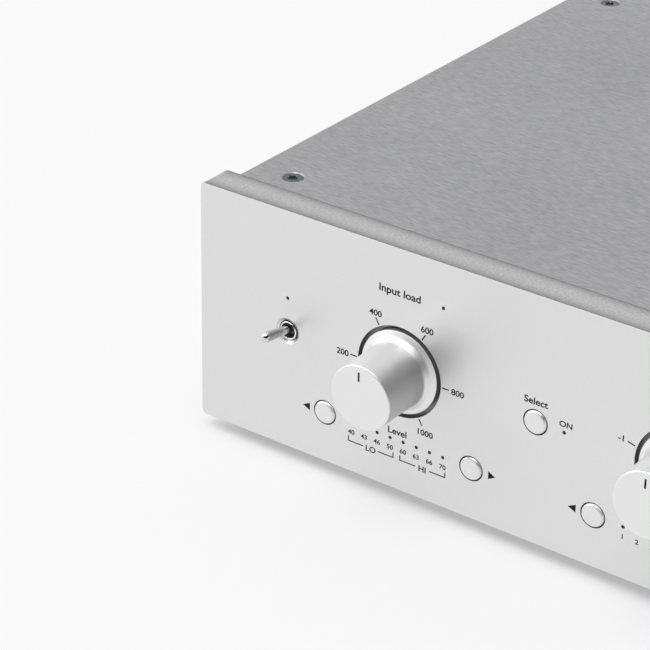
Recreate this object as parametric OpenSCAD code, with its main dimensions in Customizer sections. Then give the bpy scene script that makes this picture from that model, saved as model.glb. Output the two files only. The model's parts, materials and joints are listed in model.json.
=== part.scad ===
// Phono preamp in a half-width metal case, fed by a separate low-voltage supply. Millimetres.
// X runs left to right as seen from the front, Y from front to back, Z up from the surface
// it stands on. Depths inside the case are counted from the front panel's front face.

/* [Front panel] */
// Width of the front panel
panel_w = 205.4; // [202:0.2:226]
// Height of the front panel
panel_h = 68; // [66:1:80]
// Thickness of the front panel
panel_t = 9.6; // [9.2:0.1:12]
// Radius of the panel's corners
panel_r = 1.5; // [1:0.1:3]
// Bevel along the panel's front edges
panel_bevel = 0.1; // [0.1:0.1:0.6]

/* [Case] */
// Depth from the panel's front face to the rear panel's outer face
case_d = 190; // [184:1:240]
// Gap between the panel's lower edge and the surface
ground_gap = 4; // [3:0.5:10]
// How far the cover stands in from each end of the panel
cover_inset = 3.2; // [2:0.1:5]
// How far cover and tray stand in from the panel's upper and lower edges
edge_step = 1.1; // [0.5:0.1:2]
// Sheet thickness of the top cover
cover_t = 2; // [1.8:0.1:2.5]
// Outer edge radius of the top cover
cover_r = 1; // [0.5:0.1:1.5]
// Sheet thickness of the tray
tray_t = 1.5; // [1:0.1:2]
// Height of the tray's side and rear lips above its underside
tray_lip = 12.5; // [11:0.5:16]
// Sheet thickness of the rear panel
rear_t = 2; // [1.5:0.1:3]
// Running gap between the cover's sides and the sheets inside
sheet_gap = 0.3; // [0.2:0.1:0.6]

/* [Cover posts and feet] */
// Distance of the posts from each side of the cover
post_side = 12.3; // [11:0.1:14]
// Distance of the front posts behind the panel's front face
post_front = 18.6; // [17.5:0.1:22]
// Distance of the rear posts in front of the rear panel's outer face
post_rear = 12; // [11.5:0.1:14]
// Diameter of the posts
post_d = 8; // [7:0.5:8.5]
// Diameter of the feet
foot_d = 18; // [14:0.5:18]
// Thickness of the rubber pad under each foot
pad_t = 1.5; // [1:0.1:2]

/* [Knobs] */
// Distance of each knob's axis from the panel's nearer end
knob_side = 62.8; // [61:0.1:64]
// Height of the knobs, toggle and single buttons above the panel's lower edge
control_z = 34; // [33:0.5:38]
// Radius of the knob's grip
knob_r = 8.8; // [8:0.1:9.5]
// Radius of the flange at the knob's foot
flange_r = 11.35; // [10.5:0.05:12]
// Thickness of the flange
flange_t = 1.4; // [1:0.1:1.5]
// How far the knob stands out in front of the panel
knob_reach = 16.7; // [14:0.1:20]
// Radius of the round-over on the knob's front edge
knob_edge = 0.45; // [0.3:0.05:1.5]
// Ring gap between the flange and the recess around it
ring_gap = 1.2; // [0.5:0.05:1.4]
// Depth of the recess that the flange turns in
recess_depth = 2; // [1.8:0.1:2.5]
// Radius of the potentiometer shafts
shaft_r = 3; // [2.8:0.1:3.2]

/* [Buttons and lamps] */
// Height of the lower buttons and the lamp rows above the panel's lower edge
row_z = 14.4; // [14:0.1:16]
// Distance of the two step buttons from the knob's axis above them
step_offset = 22.4; // [20:0.1:23.5]
// Distance of the toggle and the end button from the panel's nearer end
end_side = 28.1; // [27:0.1:31]
// Radius of the button caps
button_r = 3.2; // [2.8:0.1:3.4]
// Gap around a button cap
button_gap = 0.3; // [0.2:0.05:0.4]
// How far the caps stand out of the panel
button_proud = 0.5; // [0.3:0.1:1]
// Travel of the buttons
button_travel = 0.8; // [0.4:0.1:1]
// Pitch of the lamps in a row
lamp_pitch = 4; // [3.6:0.1:4.2]
// Number of lamps in a row
lamp_count = 8; // [6:1:8]
// Radius of a lamp's opening in the panel's face
lamp_r = 0.5; // [0.4:0.05:0.6]

/* [Toggle switch] */
// How far the lever's end stands out in front of the panel
lever_reach = 10.4; // [8:0.1:12]
// Radius of the lever at its end
lever_r = 1.4; // [1.2:0.05:1.6]
// Tilt of the lever away from straight ahead, up or down
lever_tilt = 10; // [8:1:16]
// Radius of the threaded bushing
bushing_r = 3.15; // [3.1:0.05:3.5]

/* [Circuit boards] */
// Thickness of the circuit boards
board_t = 1.6; // [1.2:0.1:2]
// Height of the standoffs under the main board
standoff_h = 6; // [5:0.5:8]
// Depth of the potentiometer cases, which sets the front board's place
pot_depth = 10; // [9.5:0.5:12]
// Distance of the rear board's rear face in front of the rear panel's outer face
rear_board_y = 24; // [23:0.5:28]

/* [Rear sockets] */
// Height of the socket row's centre above the surface
socket_z = 37; // [36:0.5:42]
// Gap between the outer three-pole sockets' tubes and the rear posts
tube_gap = 0.5; // [0.3:0.1:1.5]
// Gap between the plates of neighbouring three-pole sockets
plate_gap = 2; // [1:0.1:3]
// Height of the upper and lower single sockets above and below the row's centre
pin_rise = 11.5; // [11:0.1:13]
// Outer radius of a pin socket's barrel
barrel_r = 4.15; // [4.1:0.05:4.2]
// Radius of the hole in a pin socket's centre contact
contact_r = 1.6; // [1.55:0.05:1.65]
// How far a pin socket stands out of the rear panel
barrel_reach = 12.5; // [11:0.5:13]
// How far the earth post stands out of the rear panel
post_reach = 14; // [13:0.5:18]

/* [Hidden] */
$fn = 64;
slack = 0.05;      // running clearance of a shaft, ball or plunger in its hole
rest_gap = 0.3;    // gap between pieces that must not rub
over = 1;          // how far a cutter runs past the face it opens

// Case
front_y = (knob_reach - case_d - post_reach) / 2;
cover_w = panel_w - 2 * cover_inset;
cover_top = ground_gap + panel_h - edge_step;
cover_under = cover_top - cover_t;
tray_z = ground_gap + edge_step;
tray_floor = tray_z + tray_t;
tray_w = cover_w - 2 * (cover_t + sheet_gap);
tray_end = case_d - rear_t;
tray_bend = tray_t + 0.5;
wall_back = panel_t + tray_t;
rear_in = case_d - rear_t;
rear_flange = post_rear + post_d / 2 + 1;
post_x = cover_w / 2 - post_side;
post_ys = [post_front, case_d - post_rear];

// Screws
screw_r = 1.5;
screw_hole_r = 1.7;
screw_head_r = 2.75;
screw_head_h = 2.1;
screw_len = 6;
screw_key_r = 1.4;
sink_r = 3.1;
sink_depth = 0.25;
sink_key_depth = 1.1;
foot_dish_r = screw_head_r + 1;
foot_edge = 0.8;
foot_web = 1;
panel_screw_x = (tray_w / 2 - tray_t + post_x + post_d / 2) / 2;
panel_screw_inset = 9;
panel_screws = [for (side = [-1, 1], z = [tray_z + panel_screw_inset, cover_under - panel_screw_inset])
                [side * panel_screw_x, z]];

// Vents in the tray's floor
vent_slot = [34, 2.4];
vent_x = 34;
vent_pitch = 7;
vent_count = 9;

// Controls, as [x, height above the panel's lower edge]
knob_x = panel_w / 2 - knob_side;
end_x = panel_w / 2 - end_side;
step_buttons = [[-knob_x - step_offset, row_z], [-knob_x + step_offset, row_z],
                [knob_x - step_offset, row_z], [knob_x + step_offset, row_z]];
mode_button = [0, control_z];
end_button = [end_x, control_z];
buttons = concat(step_buttons, [mode_button, end_button]);
toggle_place = [-end_x, control_z];
row_start = (lamp_count - 1) / 2 * lamp_pitch;
row_lamps = [for (side = [-1, 1], i = [0 : lamp_count - 1])
             [side * knob_x - row_start + i * lamp_pitch, row_z]];
lamp_rise = 9.5;
title_lamp = [12.3, 21.9];
mode_lamp_x = 8.1;
lamps = concat(row_lamps, [[-end_x, control_z + lamp_rise], [end_x, control_z + lamp_rise],
                           [mode_lamp_x, control_z],
                           [title_lamp[0] - knob_x, control_z + title_lamp[1]]]);

// Knobs and potentiometers
recess_r = flange_r + ring_gap;
flange_proud = 0.15;  // the flange's rim in front of the panel's face
flange_rise = 0.75;   // the flange's front face rises to this at the foot of the fillet
flare = 1.2;          // radius of the fillet between flange and grip
knob_wall = 1.6;
knob_boss_r = shaft_r + 1.8;
knob_cap_t = 3.2;
shaft_end = knob_reach - knob_cap_t - 1;
index_w = 0.4;
index_len = 2.55;
index_inset = 1.75;
index_depth = 0.2;
index_turn = -5;      // the dials rest a little to the left of straight up
shaft_hole_r = shaft_r + 0.5;
pot_bush_r = shaft_r + 1.5;
pot_r = 8.5;
pot_pocket = 5;
pot_bush_len = pot_pocket - 0.5;
pot_nut_r = 6.9;
pot_nut_t = 2;
pot_pocket_r = pot_nut_r + 1.6;

// Buttons and lamps
button_hole_r = button_r + button_gap;
button_edge = 0.9;     // round-over of the cap, which starts inside its hole
button_shelf = 3.8;   // depth of the wider bore behind the panel that takes the collar
button_step = panel_t - button_shelf;
button_collar_r = button_hole_r + 0.6;
button_collar_t = 1.2;
button_pocket_r = button_collar_r + rest_gap;
stem_r = 2;
plunger_r = 1.5;
plunger_in = 1;
key_w = 6;
key_h = 3.6;
key_floor = 1.2;
pipe_r = 1.4;
pipe_web = 1.6;
pipe_back = 0.2;
led_size = [1.6, 0.8, 0.8];

// Toggle switch
bushing_back = 0.15;  // the bushing's rounded end stands back from the panel's face
bushing_sink = 0.5;   // countersink in the panel around it
lever_ball_r = 2.1;
lever_bore_r = lever_ball_r + slack;
lever_mouth_r = 2.1;
lever_mouth_depth = 0.9;
lever_pivot = 3;
lever_root_r = 1.05;
lever_tail_r = 0.7;
lever_tail = 4.2;
toggle_size = [8, 9, 13];
toggle_pin = 0.8;
toggle_pin_pitch = 4.7;

// Boards
board_edge = 3;       // gap between a board's edge and the case's sheets or posts
front_board_y = wall_back + pot_depth;
front_board_w = 2 * (post_x - post_d / 2 - board_edge);
front_board_z = tray_floor + 2;
front_board_top = 7;  // gap between the front board's upper edge and the cover
front_board_h = cover_under - front_board_z - front_board_top;
spacer_r = 3;
spacer_edge = 4;
spacers = [for (side = [-1, 1], up = [0, 1])
           [side * (front_board_w / 2 - spacer_edge),
            front_board_z + spacer_edge + up * (front_board_h - 2 * spacer_edge)]];
board_aisle = 6;      // gap between the front board and the main board
main_z = tray_floor + standoff_h;
main_top = main_z + board_t;
main_w = tray_w - 2 * (tray_t + board_edge);
main_y = front_board_y + board_t + board_aisle;
main_end = tray_end - tray_t - board_edge - rest_gap;
main_d = main_end - main_y;
post_notch = post_d / 2 + 1.5;
standoff_r = 3;
standoff_edge = 7;
standoff_aisle = 12;  // the rear standoffs' distance in front of the rear board
standoffs = [for (side = [-1, 0, 1], y = [main_y + standoff_edge, case_d - rear_board_y - standoff_aisle])
             [side * (main_w / 2 - standoff_edge), y]];
rear_board_front = case_d - rear_board_y - board_t;
rear_board_w = 2 * (post_x - post_d / 2 - board_edge);
rear_board_top = 9;   // gap between the rear board's upper edge and the cover
rear_board_h = cover_under - main_top - rear_board_top;

// Ribbon between the two boards
ribbon_w = 26;
ribbon_t = 1;
ribbon_bend = 4;
header_size = [30, 8, 8];
header_rise = 14;
header_inset = 15;
header_front_z = main_top + header_rise;
header_main_y = main_y + header_inset;

// Parts on the main board, one set for each channel, with part_gap between one kind and the next
part_gap = 4;
sink_size = [22, 13, 24];
sink_base = 2.5;
sink_fins = 5;
sink_fin_t = 1.2;
sink_x = 18;
sink_y = rear_board_front - sink_size[1] - part_gap;
regulator_size = [10, 4.4, 9];
regulator_tab = [10, 1.3, 16];
regulator_y = sink_y - regulator_size[1];
can_size = [30, 44, 12];
can_t = 0.6;
can_x = 46;
can_y = rear_board_front - can_size[1] - part_gap;
can_hole_r = 1.6;
can_hole_pitch = 7;
can_holes = [3, 5];
relay_size = [14.6, 7.2, 10];
relay_count = 5;
relay_pitch = 9.4;
relay_x = main_w / 2 - board_edge - 2 * standoff_r - relay_size[0] / 2;
relay_front = 16;     // the first relay's distance from the main board's front edge
relay_y = main_y + relay_front;
chip_size = [5, 6.2, 1.6];
chip_count = 5;
chip_x = 24;
chip_front = 42;      // the first chip's distance from the main board's front edge
chip_y = main_y + chip_front;
chip_pitch = (regulator_y - part_gap - chip_size[1] - chip_y) / (chip_count - 1);
film_size = [13, 5.2, 11];
film_count = 4;
film_pitch = 8.6;
film_x = 32;
film_y = main_y + part_gap;
large_cap = [8, 26];
large_cap_x = 9.5;
large_cap_rows = 4;
large_cap_y = header_main_y + header_size[1] / 2 + large_cap[0] + 2;
large_cap_pitch = (regulator_y - part_gap - large_cap[0] - large_cap_y) / (large_cap_rows - 1);
small_cap = [4, 12];
small_cap_count = 5;
small_cap_x = relay_x - relay_size[0] / 2 - part_gap - small_cap[0];
small_cap_y = large_cap_y - large_cap[0];
small_cap_pitch = (can_y - part_gap - small_cap[0] - small_cap_y) / (small_cap_count - 1);
cap_rim = 0.6;
cap_score = 0.3;

// Rear sockets, as [x, height]
plate_size = [26, 31];
plate_r = 3;
plate_t = 2;
plate_screw = [9.5, 12];
tube_r = 11;
tube_hole_r = 12;
tube_len = 19;
outer_x = post_x - post_d / 2 - tube_r - tube_gap;
inner_x = outer_x - plate_size[0] - plate_gap;
power_flange = [6.6, 1.6];
pin_x = (inner_x - plate_size[0] / 2 + power_flange[0]) / 2;
input_sockets = [[-outer_x, socket_z], [-inner_x, socket_z]];
output_sockets = [[inner_x, socket_z], [outer_x, socket_z]];
white_sockets = [[-pin_x, socket_z + pin_rise], [pin_x, socket_z + pin_rise]];
red_sockets = [[-pin_x, socket_z - pin_rise], [pin_x, socket_z - pin_rise]];
pin_sockets = concat(white_sockets, red_sockets);
earth_place = [0, socket_z + pin_rise];
power_place = [0, socket_z - pin_rise];
rear_screws = [for (side = [-1, 0, 1]) [side * (inner_x + outer_x) / 2, tray_z + tray_lip / 2]];
cup_in_r = 9.6;
cup_out_r = 8;
core_base = 3;
core_nose_r = 7.85;
core_nose_back = 0.5;
pole_circle = 4;
pole_r = 1.2;
pole_tube_r = 1.7;
pole_back = 1.5;
pole_len = 12;
tail_r = 0.6;
poles = [for (a = [30, 150, 270]) [pole_circle * cos(a), pole_circle * sin(a)]];
key_slot = [2, 1.4];

latch_w = 6;
latch_t = 1.7;
latch_low = 9.7;
latch_reach = 1.8;
latch_pin_r = 0.7;
latch_pin_y = 13.5;
latch_pin_z = latch_low + latch_t / 2;
latch_travel = 1;
latch_window = latch_travel + rest_gap;
cheek_w = 12;
cheek_len = 6;
cheek_top = latch_low + latch_t + 1.6;

bush_r = 6.2;
bush_t = 1.5;
bush_neck_r = 5;
socket_flange_r = 5.6;
socket_flange_t = 1.5;
core_r = 3.2;
contact_wall_r = 2.1;
contact_back = 0.8;
contact_depth = 10;
socket_tail = 8;
nut_t = 2.4;
nut_r = 6.35;

earth_r = 2;
earth_collar = [4.6, 1.5];
earth_knurl_r = 5.5;
earth_grooves = 24;
earth_groove_r = 0.45;
earth_nut_end = 1;
earth_bush_r = 4;
earth_nut_r = 4.05;
power_body_r = 5.2;
power_bore_r = 2.9;
power_bore_depth = 10;
power_body_len = 14;
power_pin_r = 1;
power_pin_back = 1;

// Everything is laid out from the panel's front face, then moved to stand centred on the origin.
module in_case() {
    translate([0, front_y, 0])
        children();
}

// A child drawn along +Z, turned to run from front to back.
module facing(place, y) {
    translate([place[0], y, place[1]])
        rotate([-90, 0, 0])
            children();
}

// A round bar or drill running from front to back, from depth y0 to depth y1.
module bar(place, y0, y1, r) {
    facing(place, y0)
        cylinder(r = r, h = y1 - y0);
}

// Lifts a [x, height] above the panel's lower edge to a height above the surface.
function on_panel(place) = [place[0], place[1] + ground_gap];

// A flat outline with four round corners, its lower left corner at the origin.
module rounded(w, h, r) {
    translate([r, 0])
        square([w - 2 * r, h]);
    translate([0, r])
        square([w, h - 2 * r]);
    for (x = [r, w - r], y = [r, h - r])
        translate([x, y])
            circle(r = r);
}

// A plate seen from the front, with round corners and a bevel around its front face.
module bevelled_plate(w, h, t, r, bevel) {
    for (side = [-1, 1], up = [0, 1])
        translate([side * (w / 2 - r), 0, r + up * (h - 2 * r)])
            rotate([-90, 0, 0])
                rotate_extrude()
                    polygon([[0, 0], [r - bevel, 0], [r, bevel], [r, t], [0, t]]);
    translate([-w / 2 + r, 0, 0])
        rotate([90, 0, 90])
            linear_extrude(w - 2 * r)
                polygon([[bevel, 0], [t, 0], [t, h], [bevel, h], [0, h - bevel], [0, bevel]]);
    translate([0, 0, r])
        linear_extrude(h - 2 * r)
            polygon([[bevel - w / 2, 0], [w / 2 - bevel, 0], [w / 2, bevel], [w / 2, t],
                     [-w / 2, t], [-w / 2, bevel]]);
}

// A pan-head screw along Z: the head stands on z = 0, the shank reaches down.
module pan_screw(len) {
    difference() {
        union() {
            cylinder(r = screw_head_r, h = screw_head_h);
            translate([0, 0, -len])
                cylinder(r = screw_r, h = len + screw_head_h / 2);
        }
        translate([0, 0, screw_head_h / 2])
            cylinder(r = screw_key_r, h = screw_head_h, $fn = 6);
    }
}

// ---- Case ----

module panel_cutters() {
    for (side = [-1, 1]) {
        place = on_panel([side * knob_x, control_z]);
        bar(place, -over, recess_depth, recess_r);
        bar(place, 0, panel_t + over, shaft_hole_r);
        bar(place, panel_t - pot_pocket, panel_t + over, pot_pocket_r);
    }
    for (b = buttons) {
        bar(on_panel(b), -over, panel_t, button_hole_r);
        bar(on_panel(b), button_step, panel_t + over, button_pocket_r);
    }
    for (l = lamps) {
        bar(on_panel(l), -over, panel_t, lamp_r);
        bar(on_panel(l), pipe_web, panel_t + over, pipe_r);
    }
    bar(on_panel(toggle_place), -over, panel_t + over, bushing_r);
    facing(on_panel(toggle_place), -over)
        cylinder(r1 = bushing_r + bushing_sink + over, r2 = bushing_r, h = bushing_sink + over);
    for (p = panel_screws)
        bar(p, wall_back - screw_len, panel_t + over, screw_r);
}

module front_panel() {
    color("gainsboro")
        in_case()
            difference() {
                translate([0, 0, ground_gap])
                    bevelled_plate(panel_w, panel_h, panel_t, panel_r, panel_bevel);
                panel_cutters();
            }
}

// The tray folded from one sheet: floor, front wall, rear lip and two side lips.
module chassis_tray() {
    span = tray_end - panel_t;
    wall_h = cover_under - rest_gap - tray_z;
    relief = tray_bend + 2;
    color("darkgray")
        in_case()
            difference() {
                translate([0, panel_t, tray_z]) {
                    translate([tray_bend - tray_w / 2, 0, 0])
                        rotate([90, 0, 90])
                            linear_extrude(tray_w - 2 * tray_bend)
                                tray_side_profile(span, wall_h);
                    translate([0, span - relief, 0])
                        rotate([90, 0, 0])
                            linear_extrude(span - 2 * relief)
                                tray_end_profile();
                }
                tray_cutters();
            }
}

// Floor, front wall and rear lip, seen from the side.
module tray_side_profile(span, wall_h) {
    intersection() {
        difference() {
            rounded(span, wall_h + 2 * tray_bend, tray_bend);
            translate([tray_t, tray_t])
                rounded(span - 2 * tray_t, wall_h + 2 * tray_bend, tray_bend - tray_t);
            translate([span / 2, tray_lip])
                square([span, wall_h + 2 * tray_bend]);
        }
        square([span, wall_h]);
    }
}

// Floor and side lips, seen from the front.
module tray_end_profile() {
    translate([-tray_w / 2, 0])
        intersection() {
            difference() {
                rounded(tray_w, tray_lip + 2 * tray_bend, tray_bend);
                translate([tray_t, tray_t])
                    rounded(tray_w - 2 * tray_t, tray_lip + 2 * tray_bend, tray_bend - tray_t);
            }
            square([tray_w, tray_lip]);
        }
}

module tray_cutters() {
    y0 = panel_t - over;
    y1 = wall_back + over;
    for (side = [-1, 1])
        bar(on_panel([side * knob_x, control_z]), y0, y1, pot_bush_r);
    for (b = buttons)
        bar(on_panel(b), y0, y1, stem_r + slack);
    for (l = lamps)
        bar(on_panel(l), y0, y1, pipe_r);
    bar(on_panel(toggle_place), y0, y1, bushing_r);
    for (p = panel_screws)
        bar(p, y0, y1, screw_r);
    for (p = rear_screws)
        bar(p, rear_in - tray_t - over, rear_in + over, screw_r);
    for (side = [-1, 1], y = post_ys)
        translate([side * post_x, y, tray_z - over])
            cylinder(r = screw_r, h = tray_t + 2 * over);
    for (p = standoffs)
        translate([p[0], p[1], tray_z - over])
            cylinder(r = screw_r, h = tray_t + 2 * over);
    vent_slots();
}

// Two rows of round-ended slots through the floor.
module vent_slots() {
    for (side = [-1, 1], i = [0 : vent_count - 1])
        translate([side * vent_x - vent_slot[0] / 2,
                   case_d / 2 + (i - (vent_count - 1) / 2) * vent_pitch, tray_z - over])
            linear_extrude(tray_t + 2 * over)
                rounded(vent_slot[0], vent_slot[1], vent_slot[1] / 2 - 0.01);
}

// Cover bent down at both sides, its four screws sunk into the top.
module top_cover() {
    color("silver")
        in_case()
            difference() {
                translate([0, case_d, tray_z])
                    rotate([90, 0, 0])
                        linear_extrude(case_d - panel_t)
                            cover_profile();
                for (side = [-1, 1], y = post_ys)
                    translate([side * post_x, y, cover_top])
                        screw_sink();
            }
}

module cover_profile() {
    h = cover_top - tray_z;
    inner_w = cover_w - 2 * cover_t;
    translate([-cover_w / 2, 0])
        difference() {
            translate([0, -cover_r])
                rounded(cover_w, h + cover_r, cover_r);
            translate([cover_t, -2 * cover_r])
                square([inner_w, h + 2 * cover_r - cover_t]);
            translate([-over, -2 * cover_r])
                square([cover_w + 2 * over, 2 * cover_r]);
        }
}

// The countersunk hole for a cover screw, from the outer face down.
module screw_sink() {
    translate([0, 0, screw_hole_r - sink_r])
        cylinder(r1 = screw_hole_r, r2 = sink_r, h = sink_r - screw_hole_r);
    cylinder(r = sink_r, h = over);
    translate([0, 0, -cover_t - over])
        cylinder(r = screw_hole_r, h = cover_t + over);
}

module cover_screws() {
    head_r = sink_r - sink_depth;
    color("dimgray")
        in_case()
            for (side = [-1, 1], y = post_ys)
                translate([side * post_x, y, cover_top - sink_depth])
                    difference() {
                        union() {
                            translate([0, 0, screw_r - head_r])
                                cylinder(r1 = screw_r, r2 = head_r, h = head_r - screw_r);
                            translate([0, 0, -screw_len - cover_t])
                                cylinder(r = screw_r, h = screw_len + cover_t - (head_r - screw_r) / 2);
                        }
                        translate([0, 0, -sink_key_depth])
                            cylinder(r = screw_key_r, h = sink_key_depth + over, $fn = 6);
                    }
}

// Posts from the tray's floor to the cover, threaded at both ends. The rear pair is shorter
// by the rear panel's flange, which lies on top of it.
module cover_posts() {
    depth = screw_len + cover_t + 1;
    color("silver")
        in_case()
            for (side = [-1, 1], rear = [0, 1]) {
                h = cover_under - tray_floor - rear * rear_t;
                translate([side * post_x, post_ys[rear], tray_floor])
                    difference() {
                        cylinder(r = post_d / 2, h = h);
                        translate([0, 0, h - depth])
                            cylinder(r = screw_r, h = depth + over);
                        translate([0, 0, -over])
                            cylinder(r = screw_r, h = screw_len + 1 + over);
                    }
            }
}

// Rear panel with a flange folded in under the cover, and the holes for every socket.
module rear_panel() {
    bend = rear_t + 0.5;
    h = cover_under - tray_z;
    color("silver")
        in_case()
            difference() {
                translate([-tray_w / 2, rear_in - rear_flange, tray_z])
                    rotate([90, 0, 90])
                        linear_extrude(tray_w)
                            intersection() {
                                difference() {
                                    translate([-rear_flange, -rear_flange])
                                        rounded(2 * rear_flange + rear_t, h + rear_flange, bend);
                                    translate([-rear_flange, -rear_flange])
                                        rounded(2 * rear_flange, h + rear_flange - rear_t, bend - rear_t);
                                }
                                square([rear_flange + rear_t, h]);
                            }
                rear_cutters();
            }
}

module rear_cutters() {
    y0 = rear_in - over;
    y1 = case_d + over;
    for (p = concat(input_sockets, output_sockets)) {
        bar(p, y0, y1, tube_hole_r);
        for (side = [-1, 1])
            bar([p[0] + side * plate_screw[0], p[1] + side * plate_screw[1]], y0, y1, screw_r);
    }
    for (p = pin_sockets)
        bar(p, y0, y1, bush_neck_r);
    bar(earth_place, y0, y1, earth_bush_r);
    bar(power_place, y0, y1, power_body_r);
    for (p = rear_screws)
        bar(p, y0, y1, screw_hole_r);
    for (side = [-1, 1])
        translate([side * post_x, case_d - post_rear, cover_under - rear_t - over])
            cylinder(r = screw_hole_r, h = rear_t + 2 * over);
}

// Pan-head screws that hold the front panel from inside, the rear panel and the sockets.
module case_screws() {
    color("silver")
        in_case() {
            for (p = panel_screws)
                facing(p, wall_back)
                    pan_screw(screw_len);
            for (p = rear_screws)
                facing(p, case_d)
                    pan_screw(screw_len);
            for (p = concat(input_sockets, output_sockets), side = [-1, 1])
                facing([p[0] + side * plate_screw[0], p[1] + side * plate_screw[1]], case_d + plate_t)
                    pan_screw(screw_len);
        }
}

// Turned feet, each dished from below for the screw that clamps it under a post.
module feet() {
    body_h = tray_z - pad_t;
    color("dimgray")
        foot_places(pad_t)
            rotate_extrude()
                polygon([[screw_r, body_h - foot_web], [screw_r, body_h], [foot_d / 2, body_h],
                         [foot_d / 2, foot_edge], [foot_d / 2 - foot_edge, 0], [foot_dish_r, 0],
                         [foot_dish_r, body_h - foot_web]]);
}

module foot_pads() {
    color("black")
        foot_places(0)
            difference() {
                cylinder(r = foot_d / 2 - foot_edge, h = pad_t);
                translate([0, 0, -over])
                    cylinder(r = foot_dish_r, h = pad_t + 2 * over);
            }
}

module foot_screws() {
    color("silver")
        foot_places(tray_z - foot_web)
            mirror([0, 0, 1])
                pan_screw(screw_len);
}

module foot_places(z) {
    in_case()
        for (side = [-1, 1], y = post_ys)
            translate([side * post_x, y, z])
                children();
}

// ---- Knobs and potentiometers ----

// Turned knob: a shallow cone of a flange in the recess, a fillet up to the straight grip, a
// rounded front edge, and a hollow back with a bored boss for the shaft. An index line is
// milled into the front face.
module knob(side) {
    flare_arc = [for (i = [0 : 8]) let (a = 90 * i / 8)
                 [knob_r + flare * (1 - sin(a)), -flange_rise - flare * (1 - cos(a))]];
    edge_arc = [for (i = [0 : 6]) let (a = 90 * i / 6)
                [knob_r - knob_edge * (1 - cos(a)), knob_edge * (1 - sin(a)) - knob_reach]];
    color("whitesmoke")
        in_case()
            difference() {
                facing(on_panel([side * knob_x, control_z]), 0)
                    rotate_extrude()
                        polygon(concat([[flange_r, flange_t], [flange_r, -flange_proud]], flare_arc, edge_arc,
                                       [[0, -knob_reach], [0, -shaft_end], [shaft_r, -shaft_end],
                                        [shaft_r, flange_t], [knob_boss_r, flange_t],
                                        [knob_boss_r, -shaft_end], [knob_r - knob_wall, -shaft_end],
                                        [knob_r - knob_wall, flange_t]]));
                translate([side * knob_x, -knob_reach - over, ground_gap + control_z])
                    rotate([0, index_turn, 0])
                        translate([-index_w / 2, 0, knob_r - index_inset - index_len])
                            cube([index_w, index_depth + over, index_len]);
            }
}

module knob_load() {
    knob(-1);
}

module knob_balance() {
    knob(1);
}

// The shaft from the potentiometer's case to the bottom of the knob's bore.
module shaft(side) {
    color("silver")
        in_case()
            bar(on_panel([side * knob_x, control_z]), -shaft_end, wall_back + pot_depth / 2, shaft_r);
}

module shaft_load() {
    shaft(-1);
}

module shaft_balance() {
    shaft(1);
}

// Round cases behind the tray's front wall, their bushings through the wall into the panel.
module potentiometers() {
    can_edge = 0.8;
    bore_end = pot_bush_len + wall_back - panel_t + pot_depth / 2 + rest_gap;
    color("slategray")
        in_case()
            for (side = [-1, 1])
                facing(on_panel([side * knob_x, control_z]), panel_t - pot_bush_len)
                    difference() {
                        rotate_extrude()
                            polygon([[0, 0], [pot_bush_r, 0], [pot_bush_r, pot_bush_len + tray_t],
                                     [pot_r, pot_bush_len + tray_t],
                                     [pot_r, pot_bush_len + tray_t + pot_depth - can_edge],
                                     [pot_r - can_edge, pot_bush_len + tray_t + pot_depth],
                                     [0, pot_bush_len + tray_t + pot_depth]]);
                        translate([0, 0, -over])
                            cylinder(r = shaft_r + slack, h = bore_end + over);
                    }
}

module potentiometer_nuts() {
    color("silver")
        in_case()
            for (side = [-1, 1])
                facing(on_panel([side * knob_x, control_z]), panel_t - pot_nut_t)
                    difference() {
                        cylinder(r = pot_nut_r, h = pot_nut_t, $fn = 6);
                        translate([0, 0, -over])
                            cylinder(r = pot_bush_r, h = pot_nut_t + 2 * over);
                    }
}

// ---- Buttons, lamps and toggle ----

// Cap with a softened edge, a collar that keeps it behind the panel, and a stepped stem.
module button(place) {
    edge_arc = [for (i = [0 : 6]) let (a = 90 * i / 6)
                [button_r - button_edge * (1 - sin(a)), button_edge * (1 - cos(a)) - button_proud]];
    collar_y = button_step + rest_gap;
    key_face = front_board_y - key_h;
    color("gainsboro")
        in_case()
            facing(on_panel(place), 0)
                rotate_extrude()
                    polygon(concat([[0, -button_proud]], edge_arc,
                                   [[button_r, collar_y], [button_collar_r, collar_y],
                                    [button_collar_r, collar_y + button_collar_t],
                                    [stem_r, collar_y + button_collar_t],
                                    [stem_r, key_face - button_travel - rest_gap],
                                    [plunger_r, key_face - button_travel - rest_gap],
                                    [plunger_r, key_face + plunger_in], [0, key_face + plunger_in]]));
}

module button_gain_down() {
    button(step_buttons[0]);
}

module button_gain_up() {
    button(step_buttons[1]);
}

module button_filter_down() {
    button(step_buttons[2]);
}

module button_filter_up() {
    button(step_buttons[3]);
}

module button_mode() {
    button(mode_button);
}

module button_standby() {
    button(end_button);
}

// Push switches on the front board, each with a bore for its button's plunger.
module key_switches() {
    color("dimgray")
        in_case()
            for (b = buttons)
                difference() {
                    translate([b[0] - key_w / 2, front_board_y - key_h, ground_gap + b[1] - key_w / 2])
                        cube([key_w, key_h, key_w]);
                    bar(on_panel(b), front_board_y - key_h - over, front_board_y - key_floor,
                        plunger_r + slack);
                }
}

// Clear rods that carry each lamp's light from the front board to the panel's face.
module light_pipes() {
    color("lightgray")
        in_case()
            for (l = lamps)
                facing(on_panel(l), 0)
                    rotate_extrude()
                        polygon([[0, pipe_back], [lamp_r, pipe_back], [lamp_r, pipe_web], [pipe_r, pipe_web],
                                 [pipe_r, front_board_y - led_size[1]],
                                 [0, front_board_y - led_size[1]]]);
}

module front_leds() {
    color("ivory")
        in_case()
            for (l = lamps)
                translate([l[0] - led_size[0] / 2, front_board_y - led_size[1],
                           ground_gap + l[1] - led_size[2] / 2])
                    cube(led_size);
}

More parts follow.
